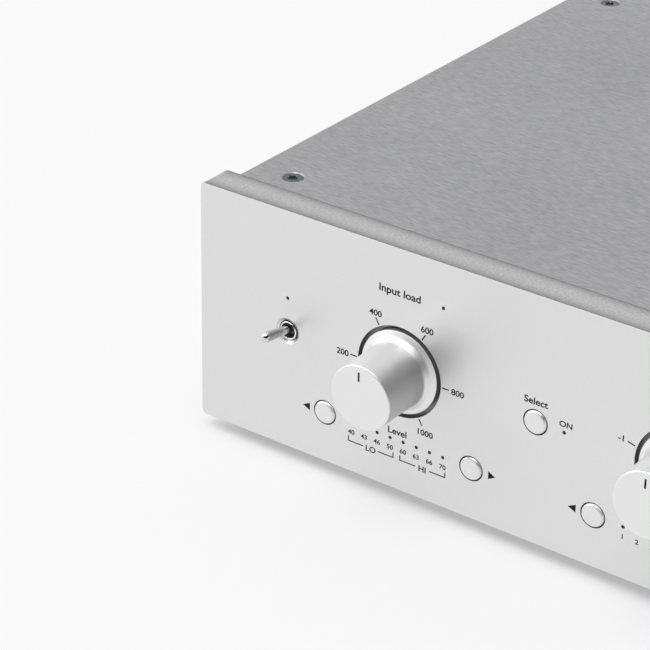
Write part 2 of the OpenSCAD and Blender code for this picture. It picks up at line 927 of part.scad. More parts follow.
// Case of the toggle switch behind the wall, with three pins that reach the front board.
module toggle_case() {
    color("steelblue")
        in_case()
            translate([toggle_place[0], wall_back, ground_gap + control_z]) {
                translate([-toggle_size[0] / 2, 0, -toggle_size[2] / 2])
                    cube([toggle_size[0], toggle_size[1], toggle_size[2]]);
                for (i = [-1, 0, 1])
                    translate([-toggle_pin / 2, toggle_size[1], i * toggle_pin_pitch - toggle_pin / 2])
                        cube([toggle_pin, pot_depth - toggle_size[1], toggle_pin]);
            }
}

// Bushing with a rounded end inside the panel's countersink and a bore that seats the lever's ball.
module toggle_bushing() {
    lip_r = (bushing_r - lever_mouth_r) / 2;
    lip_arc = [for (i = [0 : 8]) let (a = 180 * i / 8)
               [lever_mouth_r + lip_r * (1 - cos(a)), bushing_back + lip_r * (1 - sin(a))]];
    color("silver")
        in_case()
            facing(on_panel(toggle_place), 0)
                rotate_extrude()
                    polygon(concat(lip_arc, [[bushing_r, wall_back], [lever_bore_r, wall_back],
                                             [lever_bore_r, lever_mouth_depth]]));
}

// Lever on a ball, tapered out to a round end, its tail inside the bushing. It rests tilted up.
module toggle_lever() {
    arm = (lever_reach + lever_pivot) / cos(lever_tilt) - lever_r;
    color("silver")
        in_case()
            translate([toggle_place[0], lever_pivot, ground_gap + control_z])
                rotate([90 - lever_tilt, 0, 0]) {
                    sphere(r = lever_ball_r);
                    cylinder(r1 = lever_root_r, r2 = lever_r, h = arm);
                    translate([0, 0, arm])
                        sphere(r = lever_r);
                    translate([0, 0, -lever_tail])
                        cylinder(r = lever_tail_r, h = lever_tail);
                }
}

// ---- Circuit boards ----

// Upright board behind the front wall, on four spacers.
module front_board() {
    color("seagreen")
        in_case()
            difference() {
                translate([-front_board_w / 2, front_board_y, front_board_z])
                    cube([front_board_w, board_t, front_board_h]);
                for (s = spacers)
                    bar(s, front_board_y - over, front_board_y + board_t + over, screw_r);
            }
}

module front_board_spacers() {
    color("goldenrod")
        in_case()
            for (s = spacers)
                difference() {
                    bar(s, wall_back, front_board_y, spacer_r);
                    bar(s, wall_back - over, front_board_y + over, screw_r);
                }
}

// Main board on six standoffs, notched around the rear posts.
module main_board() {
    color("seagreen")
        in_case()
            difference() {
                translate([-main_w / 2, main_y, main_z])
                    cube([main_w, main_d, board_t]);
                for (side = [-1, 1])
                    translate([side * post_x - post_notch, case_d - post_rear - post_notch, main_z - over])
                        cube([2 * post_notch + over, main_d, board_t + 2 * over]);
                for (s = standoffs)
                    translate([s[0], s[1], main_z - over])
                        cylinder(r = screw_r, h = board_t + 2 * over);
            }
}

module board_standoffs() {
    color("goldenrod")
        in_case()
            for (s = standoffs)
                translate([s[0], s[1], tray_floor])
                    difference() {
                        cylinder(r = standoff_r, h = standoff_h, $fn = 6);
                        translate([0, 0, -over])
                            cylinder(r = screw_r, h = standoff_h + 2 * over);
                    }
}

// Screws through both boards, and the short ones that hold the standoffs from below.
module board_screws() {
    len = (standoff_h + board_t) / 2 - rest_gap / 2;
    color("silver")
        in_case() {
            for (s = standoffs) {
                translate([s[0], s[1], main_top])
                    pan_screw(len + board_t / 2);
                translate([s[0], s[1], tray_z])
                    mirror([0, 0, 1])
                        pan_screw(tray_t + len - board_t / 2 - rest_gap);
            }
            for (s = spacers)
                facing(s, front_board_y + board_t)
                    pan_screw(screw_len);
        }
}

// Upright board that joins the rear sockets to the main board it stands on.
module rear_board() {
    color("seagreen")
        in_case()
            translate([-rear_board_w / 2, rear_board_front, main_top])
                cube([rear_board_w, board_t, rear_board_h]);
}

// Can with a rounded rim, its vent scored across the top.
module capacitor(r, h) {
    difference() {
        rotate_extrude()
            polygon([[0, 0], [r - cap_rim, 0], [r, cap_rim], [r, h - cap_rim],
                     [r - cap_rim, h], [0, h]]);
        for (a = [0, 90])
            rotate([0, 0, a])
                translate([-r / 2, -cap_score / 2, h - cap_score])
                    cube([r, cap_score, cap_score + over]);
    }
}

// Storage capacitors in two columns on the centre line, smaller ones along each channel.
module electrolytic_capacitors() {
    color("midnightblue")
        in_case()
            for (side = [-1, 1]) {
                for (i = [0 : large_cap_rows - 1])
                    translate([side * large_cap_x, large_cap_y + i * large_cap_pitch, main_top])
                        capacitor(large_cap[0], large_cap[1]);
                for (i = [0 : small_cap_count - 1])
                    translate([side * small_cap_x, small_cap_y + i * small_cap_pitch, main_top])
                        capacitor(small_cap[0], small_cap[1]);
            }
}

// Boxed film capacitors, relays and amplifier chips, mirrored for the two channels.
module film_capacitors() {
    color("firebrick")
        board_row(film_count, film_pitch, film_size, film_x, film_y);
}

module relays() {
    color("gold")
        board_row(relay_count, relay_pitch, relay_size, relay_x, relay_y);
}

module chips() {
    color("darkslategray")
        board_row(chip_count, chip_pitch, chip_size, chip_x, chip_y);
}

// A row of equal boxes from front to back on each side of the centre line.
module board_row(count, pitch, size, x, y) {
    in_case()
        for (side = [-1, 1], i = [0 : count - 1])
            translate([side * x - size[0] / 2, y + i * pitch, main_top])
                cube(size);
}

// Finned heatsinks on the main board in front of the rear board.
module heatsinks() {
    fin_h = sink_size[1] - sink_base;
    fin_pitch = (sink_size[0] - sink_fin_t) / (sink_fins - 1);
    color("black")
        sink_places()
            linear_extrude(sink_size[2]) {
                translate([-sink_size[0] / 2, 0])
                    square([sink_size[0], sink_base]);
                for (i = [0 : sink_fins - 1])
                    translate([i * fin_pitch - sink_size[0] / 2, 0])
                        square([sink_fin_t, sink_base + fin_h]);
            }
}

// Regulators with their tabs flat against the heatsinks.
module regulators() {
    color("dimgray")
        sink_places()
            translate([0, -regulator_tab[1], 0]) {
                translate([-regulator_tab[0] / 2, 0, 0])
                    cube(regulator_tab);
                translate([-regulator_size[0] / 2, regulator_tab[1] - regulator_size[1], 0])
                    cube(regulator_size);
            }
}

module sink_places() {
    in_case()
        for (side = [-1, 1])
            translate([side * sink_x, sink_y, main_top])
                children();
}

// Folded screening cans over the input stages, open below, with a grid of holes on top.
module shield_can() {
    color("silver")
        in_case()
            for (side = [-1, 1])
                translate([side * can_x - can_size[0] / 2, can_y, main_top])
                    difference() {
                        cube(can_size);
                        translate([can_t, can_t, -over])
                            cube([can_size[0] - 2 * can_t, can_size[1] - 2 * can_t,
                                  can_size[2] - can_t + over]);
                        for (i = [0 : can_holes[0] - 1], j = [0 : can_holes[1] - 1])
                            translate([can_size[0] / 2 + (i - (can_holes[0] - 1) / 2) * can_hole_pitch,
                                       can_size[1] / 2 + (j - (can_holes[1] - 1) / 2) * can_hole_pitch,
                                       can_size[2] - can_t - over])
                                cylinder(r = can_hole_r, h = can_t + 2 * over);
                    }
}

// Flat cable from the front board's header, over one bend, down to the main board's header.
module ribbon_cable() {
    run = header_main_y - front_board_y - board_t - header_size[1] - ribbon_bend - ribbon_t / 2;
    drop = header_front_z - main_top - header_size[2] - ribbon_bend - ribbon_t / 2;
    out = ribbon_bend + ribbon_t;
    color("lightsteelblue")
        in_case()
            translate([-ribbon_w / 2, front_board_y + board_t + header_size[1], header_front_z])
                rotate([90, 0, 90])
                    linear_extrude(ribbon_w) {
                        translate([0, -ribbon_t / 2])
                            square([run, ribbon_t]);
                        translate([run, -ribbon_bend - ribbon_t / 2])
                            intersection() {
                                difference() {
                                    circle(r = out);
                                    circle(r = ribbon_bend);
                                }
                                square(out);
                            }
                        translate([run + ribbon_bend, -ribbon_bend - ribbon_t / 2 - drop])
                            square([ribbon_t, drop]);
                    }
}

// One header on the back of the front board, one on the main board.
module ribbon_headers() {
    color("dimgray")
        in_case() {
            translate([-header_size[0] / 2, front_board_y + board_t, header_front_z - header_size[1] / 2])
                cube(header_size);
            translate([-header_size[0] / 2, header_main_y - header_size[1] / 2, main_top])
                cube(header_size);
        }
}

// ---- Rear sockets ----

// Square plate on the rear panel's outer face with a tube reaching in.
module socket_shell(cup_r) {
    difference() {
        union() {
            translate([-plate_size[0] / 2, -plate_size[1] / 2, 0])
                linear_extrude(plate_t)
                    rounded(plate_size[0], plate_size[1], plate_r);
            translate([0, 0, -tube_len])
                cylinder(r = tube_r, h = tube_len + plate_t / 2);
            children();
        }
        translate([0, 0, -tube_len - over])
            cylinder(r = cup_r, h = tube_len + plate_t + 2 * over);
        for (side = [-1, 1])
            translate([side * plate_screw[0], -side * plate_screw[1], -over])
                cylinder(r = screw_hole_r, h = plate_t + 2 * over);
    }
}

// Female sockets: cheeks behind the panel carry the latch, and a slot lets it through the plate.
module input_socket_shells() {
    color("dimgray")
        in_case()
            for (p = input_sockets)
                facing(p, case_d)
                    difference() {
                        socket_shell(cup_in_r)
                            translate([-cheek_w / 2, -cheek_top, -latch_pin_y - cheek_len / 2])
                                cube([cheek_w, cheek_top - cup_in_r + 0.5, cheek_len]);
                        latch_cutters();
                    }
}

// The latch's slot, through the tube and the plate, and the bore for its pivot.
module latch_cutters() {
    slot_w = latch_w + 2 * rest_gap;
    translate([-slot_w / 2, -latch_low - latch_t - rest_gap, -latch_pin_y - latch_t / 2 - rest_gap])
        cube([slot_w, latch_t + latch_window + rest_gap + 1, latch_pin_y + latch_t + plate_t + over]);
    translate([-cheek_w, -latch_pin_z, -latch_pin_y])
        rotate([0, 90, 0])
            cylinder(r = latch_pin_r + slack, h = 2 * cheek_w);
}

module output_socket_shells() {
    color("dimgray")
        in_case()
            for (p = output_sockets)
                facing(p, case_d)
                    socket_shell(cup_out_r);
}

// Push tab that pivots on its own pin near the back of the socket.
module latch(place) {
    color("silver")
        in_case()
            facing(place, case_d) {
                translate([-latch_w / 2, -latch_low - latch_t, -latch_pin_y])
                    cube([latch_w, latch_t, latch_pin_y + plate_t + latch_reach]);
                translate([-cheek_w / 2 + 0.5, -latch_pin_z, -latch_pin_y])
                    rotate([0, 90, 0])
                        cylinder(r = latch_pin_r, h = cheek_w - 1);
                translate([-latch_w / 2, -latch_pin_z, -latch_pin_y])
                    rotate([0, 90, 0])
                        cylinder(r = latch_t / 2, h = latch_w);
            }
}

module latch_left() {
    latch(input_sockets[0]);
}

module latch_right() {
    latch(input_sockets[1]);
}

// Insulators: a bored nose in the female cups, a base with the pins through it in the male ones.
module three_pole_cores() {
    color("black")
        in_case() {
            for (p = input_sockets)
                facing(p, case_d)
                    difference() {
                        union() {
                            core_disc(cup_in_r);
                            translate([0, 0, core_base - tube_len])
                                cylinder(r = core_nose_r, h = tube_len - core_base - core_nose_back);
                        }
                        for (t = poles)
                            translate([t[0], -t[1], -core_nose_back - pole_len])
                                cylinder(r = pole_tube_r, h = pole_len + over);
                        translate([-key_slot[0] / 2, core_nose_r - key_slot[1], core_base - tube_len])
                            cube([key_slot[0], key_slot[1] + over, tube_len]);
                        pole_tails(-core_nose_back - pole_len);
                    }
            for (p = output_sockets)
                facing(p, case_d)
                    difference() {
                        core_disc(cup_out_r);
                        pole_tails(core_base - tube_len);
                    }
        }
}

module core_disc(r) {
    translate([0, 0, -tube_len])
        cylinder(r = r, h = core_base);
}

// Contact tails from the rear board to the given depth in a socket.
module pole_tails(end) {
    for (t = poles)
        translate([t[0], -t[1], -rear_board_y])
            cylinder(r = tail_r, h = rear_board_y + end);
}

// Sleeves in the female noses and solid pins in the male cups, with their tails.
module three_pole_contacts() {
    color("gold")
        in_case() {
            for (p = input_sockets)
                facing(p, case_d)
                    difference() {
                        union() {
                            pole_tails(-core_nose_back - pole_len);
                            for (t = poles)
                                translate([t[0], -t[1], -core_nose_back - pole_len])
                                    cylinder(r = pole_tube_r, h = pole_len - 1);
                        }
                        for (t = poles)
                            translate([t[0], -t[1], 2 - core_nose_back - pole_len])
                                cylinder(r = pole_r, h = pole_len);
                    }
            for (p = output_sockets)
                facing(p, case_d) {
                    pole_tails(core_base - tube_len);
                    for (t = poles)
                        translate([t[0], -t[1], core_base - tube_len]) {
                            cylinder(r = pole_r, h = tube_len - core_base - pole_back - pole_r);
                            translate([0, 0, tube_len - core_base - pole_back - pole_r])
                                sphere(r = pole_r);
                        }
                }
        }
}

// Pin sockets: an insulating bush in the panel, the metal barrel and flange, a core, a contact.
module pin_socket_bushes(places) {
    in_case()
        for (p = places)
            facing(p, case_d)
                rotate_extrude()
                    polygon([[barrel_r, -rear_t], [bush_neck_r, -rear_t], [bush_neck_r, 0],
                             [bush_r, 0], [bush_r, bush_t], [barrel_r, bush_t]]);
}

module pin_socket_bushes_white() {
    color("white")
        pin_socket_bushes(white_sockets);
}

module pin_socket_bushes_red() {
    color("red")
        pin_socket_bushes(red_sockets);
}

module pin_socket_shells() {
    lip = 0.5;
    color("gold")
        in_case()
            for (p = pin_sockets)
                facing(p, case_d)
                    rotate_extrude()
                        polygon([[core_r, -socket_tail], [barrel_r, -socket_tail], [barrel_r, bush_t],
                                 [socket_flange_r, bush_t],
                                 [socket_flange_r, bush_t + socket_flange_t],
                                 [barrel_r, bush_t + socket_flange_t], [barrel_r, barrel_reach - lip],
                                 [barrel_r - lip, barrel_reach], [core_r, barrel_reach]]);
}

module pin_socket_cores() {
    color("whitesmoke")
        in_case()
            for (p = pin_sockets)
                facing(p, case_d)
                    rotate_extrude()
                        polygon([[contact_wall_r, -socket_tail], [core_r, -socket_tail],
                                 [core_r, barrel_reach - 0.3], [contact_wall_r, barrel_reach - 0.3]]);
}

module pin_socket_contacts() {
    mouth = barrel_reach - contact_back;
    color("gold")
        in_case()
            for (p = pin_sockets)
                facing(p, case_d)
                    rotate_extrude()
                        polygon([[0, -rear_board_y], [tail_r, -rear_board_y], [tail_r, -socket_tail],
                                 [contact_wall_r, -socket_tail], [contact_wall_r, mouth],
                                 [contact_r, mouth], [contact_r, mouth - contact_depth],
                                 [0, mouth - contact_depth]]);
}

// Hexagon nuts behind the rear panel, on the pin sockets and the earth post.
module rear_nuts() {
    color("silver")
        in_case() {
            for (p = pin_sockets)
                rear_nut(p, nut_r, barrel_r);
            rear_nut(earth_place, earth_nut_r, earth_r);
        }
}

module rear_nut(place, corner_r, bore_r) {
    facing(place, rear_in - nut_t)
        difference() {
            cylinder(r = corner_r, h = nut_t, $fn = 6);
            translate([0, 0, -over])
                cylinder(r = bore_r, h = nut_t + 2 * over);
        }
}

// Earth post: a collar outside the panel on a shouldered stud, and a knurled nut to clamp a wire.
module earth_stud() {
    color("gold")
        in_case()
            facing(earth_place, case_d)
                rotate_extrude()
                    polygon([[0, -rear_t - nut_t - 1], [earth_r, -rear_t - nut_t - 1], [earth_r, -rear_t],
                             [earth_bush_r, -rear_t], [earth_bush_r, 0], [earth_collar[0], 0],
                             [earth_collar[0], earth_collar[1]], [earth_r, earth_collar[1]],
                             [earth_r, post_reach - 0.5], [earth_r - 0.5, post_reach], [0, post_reach]]);
}

module earth_nut() {
    start = earth_collar[1] + rest_gap;
    len = post_reach - earth_nut_end - start;
    bevel = 0.6;
    color("gold")
        in_case()
            facing(earth_place, case_d + start)
                difference() {
                    rotate_extrude()
                        polygon([[earth_r + slack, 0], [earth_knurl_r - bevel, 0], [earth_knurl_r, bevel],
                                 [earth_knurl_r, len - bevel], [earth_knurl_r - bevel, len],
                                 [earth_r + slack, len]]);
                    for (i = [0 : earth_grooves - 1])
                        rotate([0, 0, i * 360 / earth_grooves])
                            translate([earth_knurl_r, 0, -over])
                                cylinder(r = earth_groove_r, h = len + 2 * over, $fn = 16);
                }
}

// Barrel socket for the supply's plug, and the pin inside it with its tail to the rear board.
module power_socket() {
    color("black")
        in_case()
            facing(power_place, case_d)
                rotate_extrude()
                    polygon([[power_pin_r, -power_body_len], [power_body_r, -power_body_len],
                             [power_body_r, 0], [power_flange[0], 0], [power_flange[0], power_flange[1]],
                             [power_bore_r, power_flange[1]],
                             [power_bore_r, power_flange[1] - power_bore_depth],
                             [power_pin_r, power_flange[1] - power_bore_depth]]);
}

module power_pin() {
    color("silver")
        in_case()
            facing(power_place, case_d) {
                translate([0, 0, -rear_board_y])
                    cylinder(r = power_pin_r,
                             h = rear_board_y + power_flange[1] - power_pin_back - power_pin_r);
                translate([0, 0, power_flange[1] - power_pin_back - power_pin_r])
                    sphere(r = power_pin_r);
            }
}

front_panel();
chassis_tray();
rear_panel();
top_cover();
cover_screws();
cover_posts();
case_screws();
feet();
foot_pads();
foot_screws();
knob_load();
knob_balance();
shaft_load();
shaft_balance();
potentiometers();
potentiometer_nuts();
toggle_case();
toggle_bushing();
toggle_lever();
button_gain_down();
button_gain_up();
button_mode();
button_filter_down();
button_filter_up();
button_standby();
key_switches();
light_pipes();
front_leds();
front_board();
front_board_spacers();
main_board();
board_standoffs();
board_screws();
electrolytic_capacitors();
film_capacitors();
relays();
chips();
regulators();
heatsinks();
shield_can();
ribbon_cable();
ribbon_headers();
rear_board();
pin_socket_shells();
pin_socket_bushes_white();
pin_socket_bushes_red();
pin_socket_cores();
pin_socket_contacts();
rear_nuts();
input_socket_shells();
output_socket_shells();
three_pole_cores();
three_pole_contacts();
latch_left();
latch_right();
earth_stud();
earth_nut();
power_socket();
power_pin();
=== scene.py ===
import bpy
import bmesh
import json
import math
from mathutils import Matrix, Vector

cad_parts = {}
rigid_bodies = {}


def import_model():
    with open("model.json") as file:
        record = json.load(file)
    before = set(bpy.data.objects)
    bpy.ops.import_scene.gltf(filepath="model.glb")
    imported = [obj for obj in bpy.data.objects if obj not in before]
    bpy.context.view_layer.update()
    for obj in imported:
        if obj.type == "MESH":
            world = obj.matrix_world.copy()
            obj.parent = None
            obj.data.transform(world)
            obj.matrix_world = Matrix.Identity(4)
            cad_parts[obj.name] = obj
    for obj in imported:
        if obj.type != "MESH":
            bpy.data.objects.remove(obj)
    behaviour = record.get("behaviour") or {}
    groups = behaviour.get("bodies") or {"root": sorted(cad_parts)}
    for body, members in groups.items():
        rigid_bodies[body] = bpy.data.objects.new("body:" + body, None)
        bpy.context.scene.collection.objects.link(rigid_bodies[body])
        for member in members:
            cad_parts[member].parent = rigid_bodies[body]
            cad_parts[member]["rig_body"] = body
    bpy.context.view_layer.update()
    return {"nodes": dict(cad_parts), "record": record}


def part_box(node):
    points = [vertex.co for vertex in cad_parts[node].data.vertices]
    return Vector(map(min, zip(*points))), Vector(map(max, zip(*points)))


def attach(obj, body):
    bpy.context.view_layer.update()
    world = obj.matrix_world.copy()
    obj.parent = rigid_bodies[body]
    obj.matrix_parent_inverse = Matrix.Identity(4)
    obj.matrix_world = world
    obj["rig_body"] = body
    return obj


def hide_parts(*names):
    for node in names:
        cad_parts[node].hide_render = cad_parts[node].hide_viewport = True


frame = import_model()
nodes = frame["nodes"]
scene = bpy.context.scene
mm = 0.001

panelLow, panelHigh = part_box("front_panel")
panelFace = panelLow.y
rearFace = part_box("rear_panel")[1].y
print("frame loaded:", len(nodes), "nodes")

# where things are on the panel, in millimetres from its centre line and its lower edge
layout = {
    "knob": 39.9, "control": 34.0, "end": 74.6, "lampPitch": 4.0, "lampCount": 8,
}


# a point on the front panel: millimetres right of its centre line, above its lower edge and out of its face
def onPanel(across, up, out=0.0):
    return Vector((across * mm, panelFace - out * mm, panelLow.z + up * mm))


def linkObject(name, mesh):
    piece = bpy.data.objects.new(name, mesh)
    scene.collection.objects.link(piece)
    return piece


def meshFrom(name, points, faces):
    mesh = bpy.data.meshes.new(name)
    mesh.from_pydata([tuple(p) for p in points], [], faces)
    mesh.validate()
    return mesh


# the mesh that a helper object comes to; the helper is then removed
def evaluatedMesh(holder):
    bpy.context.view_layer.update()
    made = bpy.data.meshes.new_from_object(holder.evaluated_get(bpy.context.evaluated_depsgraph_get()))
    bpy.data.objects.remove(holder)
    return made


def faceOutwards(mesh, merge=1e-7):
    old = mesh.attributes.get("custom_normal")
    if old:
        mesh.attributes.remove(old)
    work = bmesh.new()
    work.from_mesh(mesh)
    bmesh.ops.remove_doubles(work, verts=work.verts, dist=merge)
    bmesh.ops.recalc_face_normals(work, faces=work.faces)
    work.to_mesh(mesh)
    work.free()


smoothAngle = math.radians(32)


# smooths what is round and keeps flat faces flat up to their rounded edges
def shadeEvenly(mesh):
    mesh.polygons.foreach_set("use_smooth", [True] * len(mesh.polygons))
    mesh.set_sharp_from_angle(angle=smoothAngle)
    holder = linkObject("shading", mesh)
    modifier = holder.modifiers.new("evenNormals", "WEIGHTED_NORMAL")
    modifier.mode = "FACE_AREA"
    modifier.weight = 80
    modifier.keep_sharp = True
    return evaluatedMesh(holder)


def finishPiece(piece, body, slotName, material, *stoodFor):
    piece.data.materials.clear()
    piece.data.materials.append(material)
    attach(piece, body)
    if stoodFor:
        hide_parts(*stoodFor)
    return piece


def boxCentre(name):
    low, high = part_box(name)
    return (low + high) / 2


def newGroup(name, inputs, outputs, kind="ShaderNodeTree"):
    group = bpy.data.node_groups.new(name, kind)
    for side, sockets in (("INPUT", inputs), ("OUTPUT", outputs)):
        for label, socketType in sockets:
            group.interface.new_socket(label, in_out=side, socket_type=socketType)
    return group, group.nodes.new("NodeGroupInput"), group.nodes.new("NodeGroupOutput")


# puts a value or a link into a socket
def feed(tree, socket, value):
    if isinstance(value, bpy.types.NodeSocket):
        tree.links.new(value, socket)
    else:
        socket.default_value = value


# inputs gives a value or a link for each socket it names
def addNode(tree, kind, inputs=None, **settings):
    node = tree.nodes.new(kind)
    for key, value in settings.items():
        setattr(node, key, value)
    for key, value in (inputs or {}).items():
        feed(tree, node.inputs[key], value)
    return node


def mathNode(tree, operation, first, second=None, clamp=False):
    inputs = {0: first} if second is None else {0: first, 1: second}
    return addNode(tree, "ShaderNodeMath", inputs, operation=operation, use_clamp=clamp).outputs[0]


def mixColor(tree, factor, first, second):
    return addNode(tree, "ShaderNodeMix", {0: factor, 6: first, 7: second}, data_type="RGBA").outputs[2]


def rangeNode(tree, value, fromLow, fromHigh, toLow=0.0, toHigh=1.0, smooth=False):
    inputs = dict(enumerate((value, fromLow, fromHigh, toLow, toHigh)))
    kind = "SMOOTHSTEP" if smooth else "LINEAR"
    return addNode(tree, "ShaderNodeMapRange", inputs, interpolation_type=kind).outputs[0]


# the object's own x, y and z
def objectParts(tree):
    place = addNode(tree, "ShaderNodeTexCoord")
    return addNode(tree, "ShaderNodeSeparateXYZ", {0: place.outputs["Object"]}).outputs


# how far a pattern of 0 to 1 is from its middle, times a share
def fromMiddle(tree, pattern, share):
    return mathNode(tree, "MULTIPLY", mathNode(tree, "SUBTRACT", pattern, 0.5), share)


finishInputs = [("Colour", "NodeSocketColor"), ("Second Colour", "NodeSocketColor"),
                ("Roughness", "NodeSocketFloat"), ("Roughness Change", "NodeSocketFloat")]
finishOutputs = [
    ("Colour", "NodeSocketColor"), ("Roughness", "NodeSocketFloat"), ("Height", "NodeSocketFloat")]


# one pattern mixes the two colours and swings the roughness
def endFinish(group, start, end, pattern, height):
    given = start.outputs
    group.links.new(mixColor(group, pattern, given["Colour"], given["Second Colour"]), end.inputs["Colour"])
    swing = fromMiddle(group, pattern, given["Roughness Change"])
    group.links.new(mathNode(group, "ADD", given["Roughness"], swing, clamp=True), end.inputs["Roughness"])
    group.links.new(height, end.inputs["Height"])


# one finish for every surface: a grain stretched any way, and broad smudges
def surfaceFinishGroup():
    group, start, end = newGroup("surfaceFinish", finishInputs + [
        ("Grain Size", "NodeSocketVector"), ("Grain", "NodeSocketFloat"),
        ("Smudge Scale", "NodeSocketFloat"), ("Smudge", "NodeSocketFloat")], finishOutputs)
    place = addNode(group, "ShaderNodeTexCoord").outputs["Object"]
    stretched = addNode(group, "ShaderNodeVectorMath", {0: place, 1: start.outputs["Grain Size"]},
                        operation="MULTIPLY")
    grain = addNode(group, "ShaderNodeTexNoise", {"Vector": stretched.outputs[0], "Scale": 1.0, "Detail": 3.0,
                                                  "Roughness": 0.6})
    smudge = addNode(group, "ShaderNodeTexNoise", {"Vector": place, "Scale": start.outputs["Smudge Scale"],
                                                   "Detail": 4.0})
    both = mathNode(group, "ADD", fromMiddle(group, grain.outputs[0], start.outputs["Grain"]),
                    fromMiddle(group, smudge.outputs[0], start.outputs["Smudge"]))
    endFinish(group, start, end, mathNode(group, "ADD", both, 0.5, clamp=True), grain.outputs[0])
    return group


# concentric turning marks around an axis that runs from front to back, the same on both sides of x = 0
def turnedFinishGroup():
    group, start, end = newGroup("turnedFinish", finishInputs + [
        ("Centre", "NodeSocketVector"), ("Ring Scale", "NodeSocketFloat"), ("Rings", "NodeSocketFloat"),
    ], finishOutputs + [("Radius", "NodeSocketFloat")])
    parts = objectParts(group)
    middle = addNode(group, "ShaderNodeSeparateXYZ", {0: start.outputs["Centre"]}).outputs
    flat = addNode(group, "ShaderNodeCombineXYZ", {
        0: mathNode(group, "SUBTRACT", mathNode(group, "ABSOLUTE", parts[0]), middle[0]),
        1: mathNode(group, "SUBTRACT", parts[2], middle[2])})
    radius = addNode(group, "ShaderNodeVectorMath", {0: flat.outputs[0]}, operation="LENGTH").outputs["Value"]
    rings = addNode(group, "ShaderNodeCombineXYZ", {
        index: mathNode(group, "MULTIPLY", value, start.outputs["Ring Scale"])
        for index, value in enumerate((radius, parts[1]))})
    noise = addNode(group, "ShaderNodeTexNoise", {"Vector": rings.outputs[0], "Scale": 1.0, "Detail": 2.0})
    part = fromMiddle(group, noise.outputs[0], start.outputs["Rings"])
    endFinish(group, start, end, mathNode(group, "ADD", part, 0.5, clamp=True), noise.outputs[0])
    group.links.new(radius, end.inputs["Radius"])
    return group


surfaceFinish = surfaceFinishGroup()
turnedFinish = turnedFinishGroup()
usualBumpDepth = 0.02


def shade(value):
    return (*value, 1.0)


def newMaterial(name):
    material = bpy.data.materials.new(name)
    material.use_nodes = True
    tree = material.node_tree
    return material, tree, tree.nodes["Principled BSDF"]


# depth is in millimetres
def addBump(tree, shader, height, strength, depth=usualBumpDepth):
    bump = addNode(tree, "ShaderNodeBump", {"Height": height, "Strength": strength, "Distance": depth * mm})
    tree.links.new(bump.outputs[0], shader.inputs["Normal"])


# a shared finish in the tones of a look
def finishNode(tree, group, look, inputs):
    tones = {"Colour": shade(look["dark"]), "Second Colour": shade(look["light"]), "Roughness": look["rough"]}
    return addNode(tree, "ShaderNodeGroup", {**tones, **inputs}, node_tree=group)


# grain is the size of one grain in millimetres along x, y and z
def grainGroup(tree, look):
    return finishNode(tree, surfaceFinish, look, {
        "Grain Size": [1 / (size * mm) for size in look["grain"]], "Grain": look.get("grainShare", 0.6),
        "Smudge Scale": look.get("smudgeScale", 25.0), "Smudge": look.get("smudge", 0.3),
        "Roughness Change": look.get("roughChange", 0.08)})


# ring is the width of one turning mark in millimetres
def turnedGroup(tree, centre, look):
    return finishNode(tree, turnedFinish, look, {
        "Centre": centre, "Ring Scale": 1 / (look["ring"] * mm), "Rings": look["ringShare"],
        "Roughness Change": look.get("roughChange", 0.1)})


def grainedMaterial(name, look):
    material, tree, shader = newMaterial(name)
    group = grainGroup(tree, look)
    tree.links.new(group.outputs["Colour"], shader.inputs["Base Color"])
    tree.links.new(group.outputs["Roughness"], shader.inputs["Roughness"])
    shader.inputs["Metallic"].default_value = look.get("metallic", 0.0)
    shader.inputs["Specular IOR Level"].default_value = look.get("specular", 0.5)
    addBump(tree, shader, group.outputs["Height"], look["bump"], look.get("bumpDepth", usualBumpDepth))
    return material


def triple(value):
    return value if isinstance(value, tuple) else (value, value, value)


# two tones, the grain and the roughness; one number stands for three alike
def finishLook(dark, light, grain, rough, **more):
    return {"dark": triple(dark), "light": triple(light), "grain": triple(grain), "rough": rough, **more}


